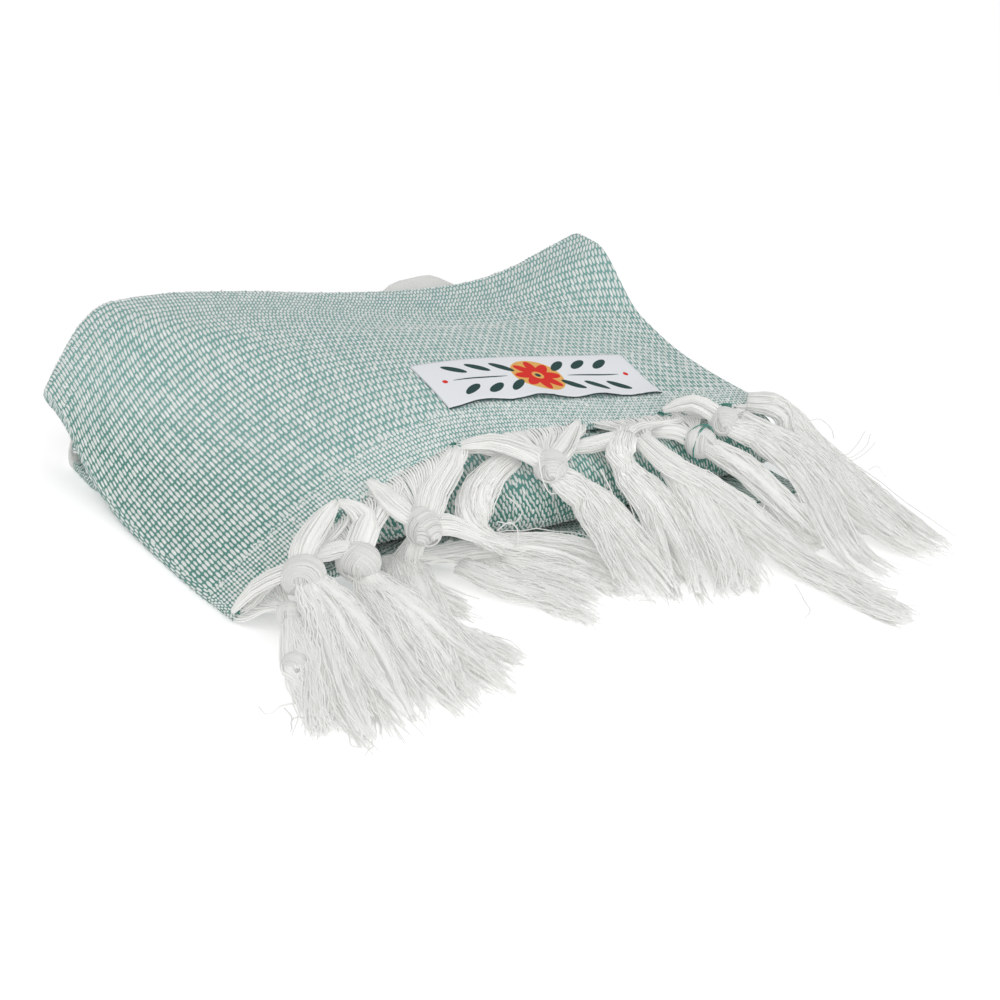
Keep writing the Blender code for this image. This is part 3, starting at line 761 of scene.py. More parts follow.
# White cotton warp: matt, each float a little lighter or greyer than the next.
warp_cotton, tree, shader = new_material(
    "white cotton warp", Roughness=0.9, Sheen_Weight=0.2, Sheen_Roughness=0.5
)
tone = add(tree, "Attribute", attribute_name="tone")["Fac"]
paint(tree, shader, "#DFE4E1", [(tone, "#F6F8F7")])

floats = mesh_piece("warp_floats", float_points.reshape(-1, 3), float_faces.tolist(), warp_cotton)
point_field(floats, "tone", np.repeat(chance.uniform(0.0, 1.0, count), 8))
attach(floats, "root")

# The label: a strip of white satin, woven with a small flower between leaves, folded under
# at its ends and sewn on near the top hem. Its lower edge is loose and wavy.
LABEL_THICKNESS = 0.5
LABEL_CLEARANCE = 0.45
LABEL_WAVE = 1.5
LABEL_WAVES = 3.5
LABEL_BOW = 0.8
LABEL_ACROSS = 104
LABEL_DEEP = 32
ABOVE_ALL = 200.0
SATIN_WHITE = "#EBEDF1"
LABEL_RED = "#DC1C0D"
LABEL_GOLD = "#E6AE5A"
LABEL_GREEN = "#123F3D"

Motif = namedtuple("Motif", "x y angle length width colour")
leaf_places = ((16, 8, 35), (16, 24, -35), (27, 8, 35), (27, 24, -35), (38, 9, 40), (38, 23, -40))
MOTIFS = [Motif(51.5, 16, 0, 23, 23, LABEL_GOLD)]
MOTIFS += [
    Motif(51.5 + 5.6 * math.cos(turn), 16 + 5.6 * math.sin(turn), turn, 10.4, 4.6, LABEL_RED)
    for turn in (math.radians(45 * i) for i in range(8))
]
MOTIFS += [Motif(51.5, 16, 0, 5.2, 5.2, LABEL_GOLD), Motif(51.5, 16, 0, 2.6, 2.6, LABEL_GREEN)]
MOTIFS += [Motif(x, 16, 0, 26, 1.0, LABEL_GREEN) for x in (24, 79)]
for x, y, degrees in leaf_places:
    MOTIFS.append(Motif(x, y, math.radians(degrees), 11.0, 3.8, LABEL_GREEN))
    MOTIFS.append(Motif(103 - x, y, math.radians(-degrees), 11.0, 3.8, LABEL_GREEN))
MOTIFS += [Motif(x, 16, 0, 2.4, 2.4, LABEL_RED) for x in (7.5, 95.5)]

cloth_tree = BVHTree.FromPolygons(cloth_points.tolist(), cloth_faces)
label_top, label_low, label_spots = [], [], []
for step in range(LABEL_DEEP + 1):
    depth = step / LABEL_DEEP
    for column in range(LABEL_ACROSS + 1):
        share = column / LABEL_ACROSS
        x = LABEL_CORNER[0] + LABEL_SIZE[0] * share + LABEL_SKEW * depth
        y = LABEL_CORNER[1] + LABEL_SIZE[1] * depth
        seat = cloth_tree.ray_cast(Vector((x, y, ABOVE_ALL)), Vector((0.0, 0.0, -1.0)))[0].z
        wave = 0.5 - 0.5 * math.cos(2.0 * math.pi * LABEL_WAVES * share)
        free = math.sin(math.pi * share) ** 0.5 * (1.0 - depth) ** 3
        under = seat + LABEL_CLEARANCE + LABEL_WAVE * wave * free
        bow = LABEL_BOW * wave * free
        label_low.append((x, y + bow, under))
        label_top.append((x, y + bow, under + LABEL_THICKNESS))
        flat_x = LABEL_SIZE[0] * column / LABEL_ACROSS
        label_spots.append((flat_x, LABEL_SIZE[1] * step / LABEL_DEEP))
grid = np.arange(len(label_top)).reshape(LABEL_DEEP + 1, -1)
quads, below = quads_of(grid), len(label_top)
label_faces = np.stack([quads, below + quads[:, ::-1]], axis=1).reshape(-1, 4).tolist()
rim = [*grid[0], *grid[1:, -1], *grid[-1, -2::-1], *grid[-2:0:-1, 0]]
label_faces += [(a, below + a, below + b, b) for a, b in zip(rim, rim[1:] + rim[:1])]

# Woven satin: a soft shine along its fine ribs, the motif in flat woven colours.
satin, tree, shader = new_material("woven satin", Roughness=0.6, Specular_IOR_Level=0.25)
spot = add(tree, "UVMap", uv_map="label")[0]
layers = []
for motif in MOTIFS:
    turned = {
        "Vector": spot,
        "Location": (motif.x, motif.y, 0.0),
        "Rotation": (0.0, 0.0, motif.angle),
        "Scale": (0.5 * motif.length, 0.5 * motif.width, 1.0),
    }
    local = add(tree, "Mapping", turned, vector_type="TEXTURE")[0]
    far = add(tree, "VectorMath", {0: local}, operation="LENGTH")["Value"]
    inside = add(tree, "Math", {0: far, 1: 1.0}, operation="LESS_THAN")[0]
    layers.append((inside, motif.colour))
paint(tree, shader, SATIN_WHITE, layers)
ribs = {"Vector": spot, "Scale": 0.5, "Distortion": 0.4}
rib = add(tree, "TexWave", ribs, bands_direction="X")["Fac"]
rib_relief = add(tree, "Bump", {"Height": rib, "Strength": 0.25, "Distance": 0.0002})[0]
tree.links.new(rib_relief, shader.inputs["Normal"])

label = mesh_piece("woven_label", label_top + label_low, label_faces, satin)
label_map = label.data.uv_layers.new(name="label")
corner_index = np.zeros(len(label.data.loops), dtype=int)
label.data.loops.foreach_get("vertex_index", corner_index)
label_map.uv.foreach_set("vector", np.array(label_spots * 2)[corner_index].ravel())
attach(label, "root")
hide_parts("label")

# The upper fringe: the warp's ends, left unwoven past the hem. Each group is gathered in a
# fan, most are tied in an overhand knot, and past it they fall as tails of loose yarns.
YARN_RADIUS = 0.3
YARN_TIP = 0.55
YARN_SIDES = 3
YARNS_PER_WIDTH = 13.5
TAIL_STEP = 6.5
TAIL_LOCKS = 9
TAIL_DEPTH = 0.62
SURFACE_SHARE = 0.68
FILLING_STRANDS = 14
FILLING_REACH = 0.64
FILLING_GIRTH = 0.25
FILLING_SIDES = 6
SPINE_POINTS = 81
FLOOR_GAP = 0.1
ON_FLOOR = 4.0
FAN_RADIUS = 0.44
FAN_SPACING = 1.15
FAN_POINTS = 10
FAN_LEVELS = (0.0, 1.3)
KNOT_YARNS_PER_SIZE = 5.0
KNOT_RADIUS = 0.36
KNOT_POINTS = 26
KNOT_BAND = 0.62
KNOT_WAIST = 0.45
KNOT_JITTER = 0.15
UP = np.array([0.0, 0.0, 1.0])
LEANING_UP = np.array([0.05, -0.12, 1.0])

# As shares of a knot's size: its height and half length, its core's half length and girth,
# and the half width and half depth of the fan that enters it.
KNOT_FLATTENING = 0.92
KNOT_LENGTH = 0.95
KNOT_CORE = (0.72, 0.85)
KNOT_CORE_POINTS = 9
KNOT_CORE_SIDES = 12
FAN_MOUTH = (0.55, 0.4)

# A fan's yarns start a little inside the hem, leave it level and bend before the knot,
# at shares of the way between them. Yarns that start lower at the hem are a little finer.
FAN_JITTER = 0.2
FAN_ROOT = (0.0, 0.8, 0.0)
FAN_LEAD = (0.0, -0.4, 0.02)
FAN_BEND = 0.42
FAN_THINNING = 0.06

# How loose the yarns of a tail are: the pull of its locks, the lengths of their waves, the
# sway, the frayed ends, and the few yarns that stand off.
LOCK_PULL = 0.6
LOCK_ENDS = (0.88, 1.0)
YARN_ENDS = (0.84, 1.0)
WAVE_LENGTHS = (11.0, 24.0)
SWAY = 1.3
FRAY_START = 0.82
FRAY_LENGTH = 0.18
FRAY_SPREAD = 5.5
LOOSE_YARNS = 0.09
LOOSE_SPREAD = 5.0
LOOSE_LIFT = 3.0

# A knot's two bands: their tilt, girth, share of its yarns and turns.
KNOT_BANDS = ((0.55, 1.0, 1.0, 1.3), (-0.5, 0.95, 0.65, 0.9))

# A tassel: its yarns' part of the hem, the place and half width of its gather, its knot's
# length over its width (0 if it isn't tied), and the routes of its bands and tails as
# (x, y, z, half width).
Tassel = namedtuple("Tassel", "hem_from hem_to drop place size tied routes")
LEFT_TASSELS = (
    Tassel(0.5, 20, 2.2, (10, -25, 12), 4.8, 1.0, (
        ((7, -31, 10, 4.2), (0, -43, 9, 4.6), (-5, -52, 9, 4.4), (-7, -58, 8, 4.2)),
        ((-4, -52, 8, 4.2), (-8, -66, 5, 5.2), (-12, -80, 4, 5), (-16, -92, 2, 4)),
        ((10, -30, 11, 3), (4, -46, 11, 4.2), (0, -60, 8, 5.2), (-9, -76, 5, 6), (-19, -93, 2, 4.5)),
    )),
    Tassel(1, 50, 0.6, (19, -19, 22), 8.2, 1.0, (
        ((0, -1, 6, 1.6), (6, -7, 16, 4), (14, -15, 23, 4.2), (18, -18, 23, 3.6)),
        ((44, -1, 37, 1.8), (36, -5, 34, 4.6), (26, -11, 30, 5.2), (20, -16, 26, 4.5)),
        ((21, -26, 19, 7), (23, -37, 14, 9), (21, -54, 10, 10), (16, -78, 6, 10), (9, -110, 2, 6)),
        ((18, -26, 19, 6), (16, -39, 13, 8), (10, -58, 8, 10), (2, -82, 4, 9.5), (-7, -111, 2, 5.5)),
    )),
    Tassel(36, 72, 1.6, (42, -19, 21), 8.0, 1.0, (
        ((45, -1, 37, 1.6), (49, -5, 35, 4), (51, -10, 31, 5.5), (44, -16, 25, 5.5)),
        ((27, -9, 23, 3.6), (33, -13, 25, 4.4), (39, -16, 26, 4)),
        ((45, -25, 14, 6), (46, -43, 13, 8), (48, -60, 9, 9), (50, -80, 5, 8.5), (51, -107, 2, 6)),
        ((42, -25, 14, 5.5), (39, -47, 12, 8), (36, -67, 8, 9.5), (33, -88, 4, 9), (31, -113, 2, 6)),
        ((47, -40, 9, 3), (55, -56, 5, 5.5), (62, -72, 3, 6), (68, -92, 2, 5)),
    )),
)
MIDDLE_LEFT_TASSELS = (
    Tassel(58, 101, 0.6, (69, -20, 28), 6.6, 1.4, (
        ((96, -1, 46, 1.6), (90, -6, 41, 5.4), (79, -12, 36, 6), (73, -17, 31, 5.5)),
        ((58, -1, 42, 1.6), (61, -6, 38, 4), (64, -13, 33, 5)),
        ((109, -23, 9, 2.5), (99, -24, 15, 3.2), (90, -23, 20, 4), (82, -21, 25, 5), (76, -20, 27, 5.5)),
        ((70, -5, 7, 6), (66, -13, 8, 8.5), (61, -26, 6, 10), (55, -42, 4, 10.5), (46, -62, 2, 8)),
        ((66, -14, 9, 6), (60, -30, 8, 8), (50, -54, 6, 9), (41, -80, 4, 9), (34, -104, 2, 7)),
    )),
    Tassel(100, 124, 2.4, (117, -7, 38), 5.2, 0.0, (
        ((117, -7, 38, 5.2), (104, -12, 36, 6.3), (94, -17, 30, 6.8), (93, -21, 20, 6.3),
         (102, -21, 12, 6), (114, -24, 10, 7), (126, -33, 8, 8.5), (134, -50, 5, 10), (138, -70, 2, 8)),
        ((86, -20, 7, 5), (91, -37, 6, 6), (99, -52, 5, 7), (104, -66, 4, 7), (108, -80, 2, 5.5)),
        ((103, -23, 6, 4), (112, -37, 5, 5.5), (119, -49, 4, 6), (123, -64, 2, 5)),
    )),
    Tassel(106, 156, 0.6, (124, -23, 39), 6.0, 1.5, (
        ((97, -1, 46, 1.8), (107, -8, 48, 4.2), (116, -15, 45, 5), (122, -20, 41, 5)),
        ((153, -1, 42.6, 1), (148, -5, 41.5, 3.2), (139, -12, 40.5, 4.6), (131, -18, 40, 4.8),
         (124, -21, 39, 4.5)),
        ((127, -26, 34, 7.5), (135, -30, 26, 9), (138, -39, 19, 10.5), (139, -50, 12, 12),
         (138, -66, 6, 13), (135, -82, 2, 9.5)),
    )),
)
MIDDLE_RIGHT_TASSELS = (
    Tassel(161, 203, 0.6, (161, -20, 41), 5.4, 0.0, (
        ((142, -7, 36, 3), (151, -12, 37, 4.6), (158, -18, 40, 4.4), (161, -22, 40, 3.5)),
        ((161, -20, 41, 5), (156, -24, 37, 5.6), (157, -27, 30, 5.8), (159, -36, 24, 8.5),
         (161, -46, 16, 11), (158, -60, 9, 12), (151, -76, 5, 11), (145, -88, 2, 8)),
    )),
    Tassel(170, 192, 2.2, (171, -20, 37), 5.0, 0.0, (
        ((169, -20, 38, 4.5), (174, -33, 30, 5.8), (183, -43, 23, 6.5), (189, -58, 16, 7.5),
         (192, -74, 10, 8), (194, -94, 6, 8.5), (200, -115, 4, 8.5), (214, -134, 2, 6)),
        ((177, -30, 27, 6), (177, -45, 19, 8), (174, -61, 11, 9.5), (169, -78, 6, 10), (163, -93, 2, 8)),
        ((171, -55, 6, 5), (171, -68, 5, 6), (169, -79, 4, 6), (166, -90, 2, 5)),
        ((195, -93, 6, 5), (195, -112, 4, 6.5), (197, -129, 3, 6), (199, -143, 2, 5)),
    )),
    Tassel(188, 212, 2.0, (197, -22, 30), 6.6, 1.0, (
        ((183, -8, 33, 3.2), (191, -14, 33, 4.4), (196, -19, 30, 4.4)),
        ((200, -26, 28, 5.5), (205, -38, 24, 6.3), (208, -52, 18, 6.3), (210, -65, 11, 6),
         (214, -80, 2, 4.5)),
    )),
)
RIGHT_TASSELS = (
    Tassel(206, 231, 0.6, (212, -18, 34), 5.6, 1.35, (
        ((195, -1, 37, 1.6), (204, -6, 40, 4.6), (209, -12, 38, 5), (212, -17, 34, 4.6)),
        ((214, -22, 32, 5.5), (222, -28, 28, 7), (226, -42, 23, 7.5), (225, -60, 16, 8),
         (218, -80, 10, 8), (214, -98, 5, 7.5), (217, -119, 2, 6)),
    )),
    Tassel(212, 236, 2.2, (223, -18, 33), 5.0, 0.0, (
        ((221, -18, 33, 5), (233, -34, 24, 6.5), (239, -50, 17, 7), (236, -71, 11, 7), (237, -93, 6, 7),
         (244, -113, 2, 5.5)),
    )),
    Tassel(232, 249, 0.6, (247, -8, 29), 6.8, 0.0, (
        ((239, -1, 30, 5.5), (247, -8, 29, 7), (252, -14, 22, 7.2), (252, -28, 15, 7.5),
         (252, -48, 11, 7.5), (252, -70, 7, 8), (250, -95, 4, 7.5), (251, -110, 2, 5.5)),
        ((249, -16, 20, 5), (247, -39, 14, 5.5), (246, -63, 8, 6), (243, -86, 4, 6), (241, -104, 2, 5)),
    )),
)
Skein = namedtuple("Skein", "paths radii tones sides")


def through(route, count):
    """Points on a smooth curve through a route's places."""
    route = np.asarray(route, float)
    before, after = 2.0 * route[:1] - route[1:2], 2.0 * route[-1:] - route[-2:-1]
    ahead = np.concatenate([before, route, after])
    share = np.linspace(0.0, len(route) - 1.0, count)
    whole = np.minimum(share.astype(int), len(route) - 2)
    t = (share - whole)[:, None]
    a, b, c, d = (ahead[whole + k] for k in range(4))
    curve = 2.0 * b + (c - a) * t + (2 * a - 5 * b + 4 * c - d) * t**2
    return 0.5 * (curve + (3 * b - a - 3 * c + d) * t**3)


def disc_places(count, inner=0.0):
    """Random places in a unit circle, outside this radius."""
    radius = np.sqrt(chance.uniform(inner * inner, 1.0, count))
    angle = chance.uniform(0.0, 2.0 * math.pi, count)
    return np.stack([radius * np.cos(angle), radius * np.sin(angle)], axis=1)


def band_skeins(route, yarns=None, wave=0.45, step=TAIL_STEP):
    """Yarns side by side along a route, round a soft filling of more yarns that can't be seen
    one by one. A route that ends on the floor ends in loose points."""
    spine = through(route, SPINE_POINTS)
    grid = np.linspace(0.0, 1.0, SPINE_POINTS)
    heading = unit(np.gradient(spine[:, :3], axis=0))
    aside = unit(np.cross(heading, LEANING_UP))
    spine = np.concatenate([spine, aside, np.cross(aside, heading)], axis=1)
    span = np.linalg.norm(np.diff(spine[:, :3], axis=0), axis=1).sum()
    yarns = yarns or int(YARNS_PER_WIDTH * spine[:, 3].max())
    count = int(span / step) + 4
    free = route[-1][2] < ON_FLOOR
    locks = disc_places(TAIL_LOCKS)
    lock_ends = chance.uniform(*LOCK_ENDS, TAIL_LOCKS)
    lock_phase = chance.uniform(0.0, 2.0 * math.pi, TAIL_LOCKS)

    def nearest_lock(own):
        return np.argmin(np.linalg.norm(own[:, None] - locks[None], axis=2), axis=1)

    def laid(own, owner, ends, loose_share, wave):
        """Paths at these places in the band, each with its lock, and (share, half width)."""
        share = np.linspace(0.0, 1.0, count)[None, :] * ends[:, None]
        read = np.stack([np.interp(share, grid, values) for values in spine.T], axis=-1)
        half, side, rise = read[..., 3], read[..., 4:7], read[..., 7:]
        pull = LOCK_PULL * ease((share - 0.3) / 0.7) if free else 0.0 * share
        across = mix(own[:, :1], 1.1 * locks[owner, :1], pull)
        height = mix(own[:, 1:], locks[owner, 1:], pull)
        size = (len(own), 1)
        phase = chance.uniform(0.0, 2.0 * math.pi, (len(own), 3))
        waving = 2.0 * math.pi * (span / chance.uniform(*WAVE_LENGTHS, size)) * share
        loosen = wave * ease(4.0 * share) if free else 0.3 * wave * np.sin(math.pi * share)
        wander = loosen * np.sin(waving + phase[:, :1])
        wander += loosen * np.sin(5.0 * share + phase[:, 1:2]) * 2.0
        lift = loosen * np.sin(waving + phase[:, 2:])
        if free:
            sway = np.sin(8.0 * share + lock_phase[owner, None])
            wander += SWAY * ease(1.4 * share - 0.3) * sway
            fray = np.clip((share - FRAY_START) / FRAY_LENGTH, 0.0, 1.0) ** 1.5
            wander += fray * wave * chance.normal(0.0, FRAY_SPREAD, size)
            loose = chance.uniform(0.0, 1.0, size) < loose_share
            wander += np.where(loose, chance.normal(0.0, LOOSE_SPREAD, size), 0.0) * share**2
            lifted = np.where(loose, chance.uniform(0.0, LOOSE_LIFT, size), 0.0)
            lift += lifted * share * (1.0 - share)
        paths = read[..., :3] + side * (half * across + wander)[..., None]
        paths += rise * (TAIL_DEPTH * half * height + lift)[..., None]
        return paths, share, half

    own = disc_places(yarns, SURFACE_SHARE)
    owner = nearest_lock(own)
    ends = lock_ends[owner] * chance.uniform(*YARN_ENDS, yarns) if free else np.ones(yarns)
    paths, share, half = laid(own, owner, ends, LOOSE_YARNS, wave)
    radii = YARN_RADIUS * (mix(1.0, YARN_TIP, share**4) if free else np.ones_like(share))
    skeins = [Skein(paths, radii, chance.uniform(0.55, 1.0, yarns), YARN_SIDES)]
    if yarns > 1:
        inner = FILLING_REACH * disc_places(FILLING_STRANDS)
        ends = np.full(FILLING_STRANDS, 0.93 if free else 1.0)
        paths, share, half = laid(inner, nearest_lock(inner), ends, 0.0, 0.2)
        radii = FILLING_GIRTH * half * mix(0.4, 1.0, ease(7.0 * share))
        if free:
            radii = radii * (1.0 - 0.9 * ease((share - 0.4) / 0.6))
        # Painted shade: the filling takes darker tones than the yarns round it, as the inside of a band
        # lies in shade.
        skeins.append(Skein(paths, radii, chance.uniform(0.4, 0.7, FILLING_STRANDS), FILLING_SIDES))
    return skeins


def fan_skeins(tassel, along, hem):
    """The loose yarns from the hem, which bend together where they enter the knot."""
    across = unit(np.cross(UP, along))
    start = np.array(tassel.place, float) - along * 0.5 * tassel.size
    skeins = []
    for level in FAN_LEVELS:
        count = int((tassel.hem_to - tassel.hem_from) / FAN_SPACING)
        places = np.linspace(tassel.hem_from, tassel.hem_to, count)
        places += chance.uniform(-FAN_JITTER, FAN_JITTER, count)
        roots = np.array([hem(place) for place in places])
        roots[:, 2] -= tassel.drop + level + chance.uniform(-FAN_JITTER, FAN_JITTER, count)
        order = np.linspace(-1.0, 1.0, count)
        depth = np.sqrt(1.0 - 0.8 * order**2) * chance.uniform(-1.0, 1.0, count)
        ends = start + across * (FAN_MOUTH[0] * tassel.size * order[:, None])
        ends = ends + np.cross(along, across) * (FAN_MOUTH[1] * tassel.size * depth[:, None])
        gap = np.linalg.norm(ends - roots, axis=1, keepdims=True)
        leads = roots + gap * FAN_LEAD
        entries = ends - along * gap * FAN_BEND
        share = np.linspace(0.0, 1.0, FAN_POINTS)[None, :, None]
        rest = 1.0 - share
        roots = roots + FAN_ROOT
        paths = rest**3 * roots[:, None] + 3 * rest**2 * share * leads[:, None]
        paths = paths + 3 * rest * share**2 * entries[:, None] + share**3 * ends[:, None]
        radii = np.full(paths.shape[:2], FAN_RADIUS - FAN_THINNING * level)
        skeins.append(Skein(paths, radii, chance.uniform(0.4, 1.0, count), YARN_SIDES))
    return skeins


def knot_skeins(place, along, size, stretch=1.0):
    """An overhand knot: two crossing bands of yarn, wound round a tight inside."""
    centre = np.array(place, float)
    across = unit(np.cross(UP, along))
    up = np.cross(along, across)
    skeins = []
    lean = chance.choice((-1.0, 1.0))
    for tilt, girth_share, yarn_share, turns in KNOT_BANDS:
        yarns = int(yarn_share * int(KNOT_YARNS_PER_SIZE * size))
        tilt *= lean / stretch
        axis = along * math.cos(tilt) + across * math.sin(tilt)
        side = across * math.cos(tilt) - along * math.sin(tilt)
        share = np.linspace(0.0, 1.0, KNOT_POINTS)[None, :]
        order = (np.arange(yarns)[:, None] + 0.5) / yarns
        order = order + chance.uniform(-0.4, 0.4, order.shape) / yarns
        turn = 2.0 * math.pi * (turns * share + chance.uniform(0.0, 1.0))
        spot = np.sin(math.pi * (mix(share, order, KNOT_BAND) - 0.5))
        crown = np.sqrt(np.clip(1.0 - (1.6 * (order - 0.5)) ** 2, 0.05, 1.0))
        girth = np.sqrt(np.clip(1.0 - spot**2, 0.004, 1.0)) * (0.84 + 0.16 * crown)
        girth *= 1.0 + 0.05 * np.sin(2.0 * turn + chance.uniform(0.0, 6.0))
        reach = size * girth_share + chance.uniform(-KNOT_JITTER, KNOT_JITTER, (yarns, 1, 1))
        turned = np.cos(turn)[..., None] * side + KNOT_FLATTENING * np.sin(turn)[..., None] * up
        paths = centre + KNOT_LENGTH * stretch * size * spot[..., None] * axis
        paths = paths + girth[..., None] * reach * turned
        radii = np.full(paths.shape[:2], KNOT_RADIUS)
        # Painted shade: knot yarns take the darkest tones, so a knot's lit top comes out no brighter than
        # the tails.
        skeins.append(Skein(paths, radii, chance.uniform(0.0, 0.4, yarns), YARN_SIDES))
    share = np.linspace(-1.0, 1.0, KNOT_CORE_POINTS)
    core = centre + KNOT_CORE[0] * stretch * size * share[None, :, None] * along
    radii = KNOT_CORE[1] * size * np.sqrt(1.02 - share[None, :] ** 2)
    # Painted shade: the knot's core takes a dim tone as well.
    skeins.append(Skein(core, radii, np.array([0.3]), KNOT_CORE_SIDES))
    return skeins


def yarn_mesh(skein, first):
    """Closed yarns with pointed ends along the skein's paths, numbered from first."""
    paths, radii, sides = skein.paths.copy(), skein.radii, skein.sides
    paths[..., 2] = np.maximum(paths[..., 2], radii + FLOOR_GAP)
    count, length = paths.shape[:2]
    ahead = unit(np.gradient(paths, axis=1))
    side = np.empty_like(paths)
    side[:, 0] = unit(np.cross(ahead[:, 0], (0.31, 0.17, 0.93)))
    for i in range(1, length):
        onto = np.sum(side[:, i - 1] * ahead[:, i], -1, keepdims=True)
        side[:, i] = unit(side[:, i - 1] - ahead[:, i] * onto)
    other = np.cross(ahead, side)
    turn = (2.0 * math.pi * np.arange(sides) / sides)[None, None, :, None]
    round_yarn = np.cos(turn) * side[:, :, None] + np.sin(turn) * other[:, :, None]
    sleeves = paths[:, :, None] + radii[:, :, None, None] * round_yarn
    starts = paths[:, 0] - ahead[:, 0] * radii[:, :1]
    ends = paths[:, -1] + ahead[:, -1] * radii[:, -1:]
    sleeves = sleeves.reshape(count, length * sides, 3)
    points = np.concatenate([sleeves, starts[:, None], ends[:, None]], axis=1)
    ring, last = length * sides, (length - 1) * sides
    faces = quads_of(ring_grid(length, sides))
    turns = [(j, (j + 1) % sides) for j in range(sides)]
    caps = [cap for j, k in turns for cap in ((ring, k, j), (ring + 1, last + j, last + k))]
    shift = first + points.shape[1] * np.arange(count)[:, None, None]
    quads = (faces[None] + shift).reshape(-1, 4).tolist()
    triangles = (np.array(caps)[None] + shift).reshape(-1, 3).tolist()
    return points.reshape(-1, 3), quads + triangles, np.repeat(skein.tones, points.shape[1])


def yarn_piece(name, skeins, finish):
    """One object of many yarns."""
    points, faces, tones = np.zeros((0, 3)), [], np.zeros(0)
    for skein in skeins:
        more_points, more_faces, more_tones = yarn_mesh(skein, len(points))
        points = np.concatenate([points, more_points])
        tones = np.concatenate([tones, more_tones])
        faces += more_faces
    made = mesh_piece(name, points, faces, finish)
    point_field(made, "tone", tones)
    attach(made, "root")
    return made


def hem_line(edge):
    """A function that gives the place on a hem's edge at any x along it."""
    edge = edge[np.argsort(edge[:, 0])]
    return lambda x: np.array([x] + [np.interp(x, edge[:, 0], edge[:, i]) for i in (1, 2)])


def tassel_skeins(tassel, hem):
    """All the yarns of one tassel: its fan, its knot if it has one, its bands and tails."""
    middle = hem(0.5 * (tassel.hem_from + tassel.hem_to))
    along = unit((np.array(tassel.place) - middle) * (1.0, 1.0, 0.5))
    skeins = fan_skeins(tassel, along, hem)
    routes = tassel.routes
    if tassel.tied:
        skeins += knot_skeins(tassel.place, along, tassel.size, tassel.tied)
        inside = (*tassel.place, KNOT_WAIST * tassel.size)
        routes = [(inside, *row) if row[-1][2] < ON_FLOOR else (*row, inside) for row in routes]
    for route in routes:
        skeins += band_skeins(route)
    return skeins


# Undyed cotton, loosely twisted: matt and bright. A weak glow stands for the light that
# passes through thin yarns, so the gaps between them stay pale.
YARN_GLOW = 0.13
fringe_cotton, tree, shader = new_material(
    "white cotton yarn",
    Emission_Color=linear("#FFFFFD"),
    Emission_Strength=YARN_GLOW,
    Roughness=0.9,
    Sheen_Weight=0.1,
    Sheen_Roughness=0.5,
)
tone = add(tree, "Attribute", attribute_name="tone")["Fac"]
paint(tree, shader, "#D0D0CE", [(tone, "#F0F0EE")])

SECOND_KNOT = (-5.0, -53.0, 8.5)
SECOND_KNOT_SIZE = 5.0
top_hem = hem_line(top_face[0])
for name, group in (
    ("upper_fringe_left", LEFT_TASSELS),
    ("upper_fringe_middle_left", MIDDLE_LEFT_TASSELS),
    ("upper_fringe_middle_right", MIDDLE_RIGHT_TASSELS),
    ("upper_fringe_right", RIGHT_TASSELS),
):
    skeins = [skein for tassel in group for skein in tassel_skeins(tassel, top_hem)]
    if group is LEFT_TASSELS:
        skeins += knot_skeins(SECOND_KNOT, unit(np.array([-0.4, -0.85, -0.1])), SECOND_KNOT_SIZE)
    piece = yarn_piece(name, skeins, fringe_cotton)
    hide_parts("fringe_upper")

# The lower fringe: the same warp ends at the hem beneath the pack, knotted small and
# pressed flat by the layers over them.
LOWER_KNOT = 3.9
LOWER_TASSELS = [
    Tassel(start, start + 20, 0.0, (x, y, LOWER_KNOT), LOWER_KNOT, 1.0, (
        ((x, y - 3, 4, 3.6), (mix(x, tip_x, 0.4), mix(y, tip_y, 0.4), 3.2, 6), (tip_x, tip_y, 2, 7)),
    ))
    for start, x, y, tip_x, tip_y in (
        (24, 35, -8, 37, -38), (54, 66, -11, 72, -50), (86, 100, -17, 106, -74),
        (118, 130, -30, 130, -68), (148, 157, -39, 152, -74), (177, 185, -43, 180, -78),
        (204, 212, -46, 210, -80), (226, 236, -48, 241, -82),
    )
]
LOWER_BAND = (62, -5, 9, 4), (84, -10, 9, 5), (104, -17, 9, 5.5), (124, -27, 7, 6), (146, -40, 5, 5)
low_hem = hem_line(0.5 * (top_face[-1] + low_face[-1]))
skeins = [skein for tassel in LOWER_TASSELS for skein in tassel_skeins(tassel, low_hem)]
skeins += band_skeins(LOWER_BAND)
lower = yarn_piece("lower_fringe", skeins, fringe_cotton)
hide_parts("fringe_lower")

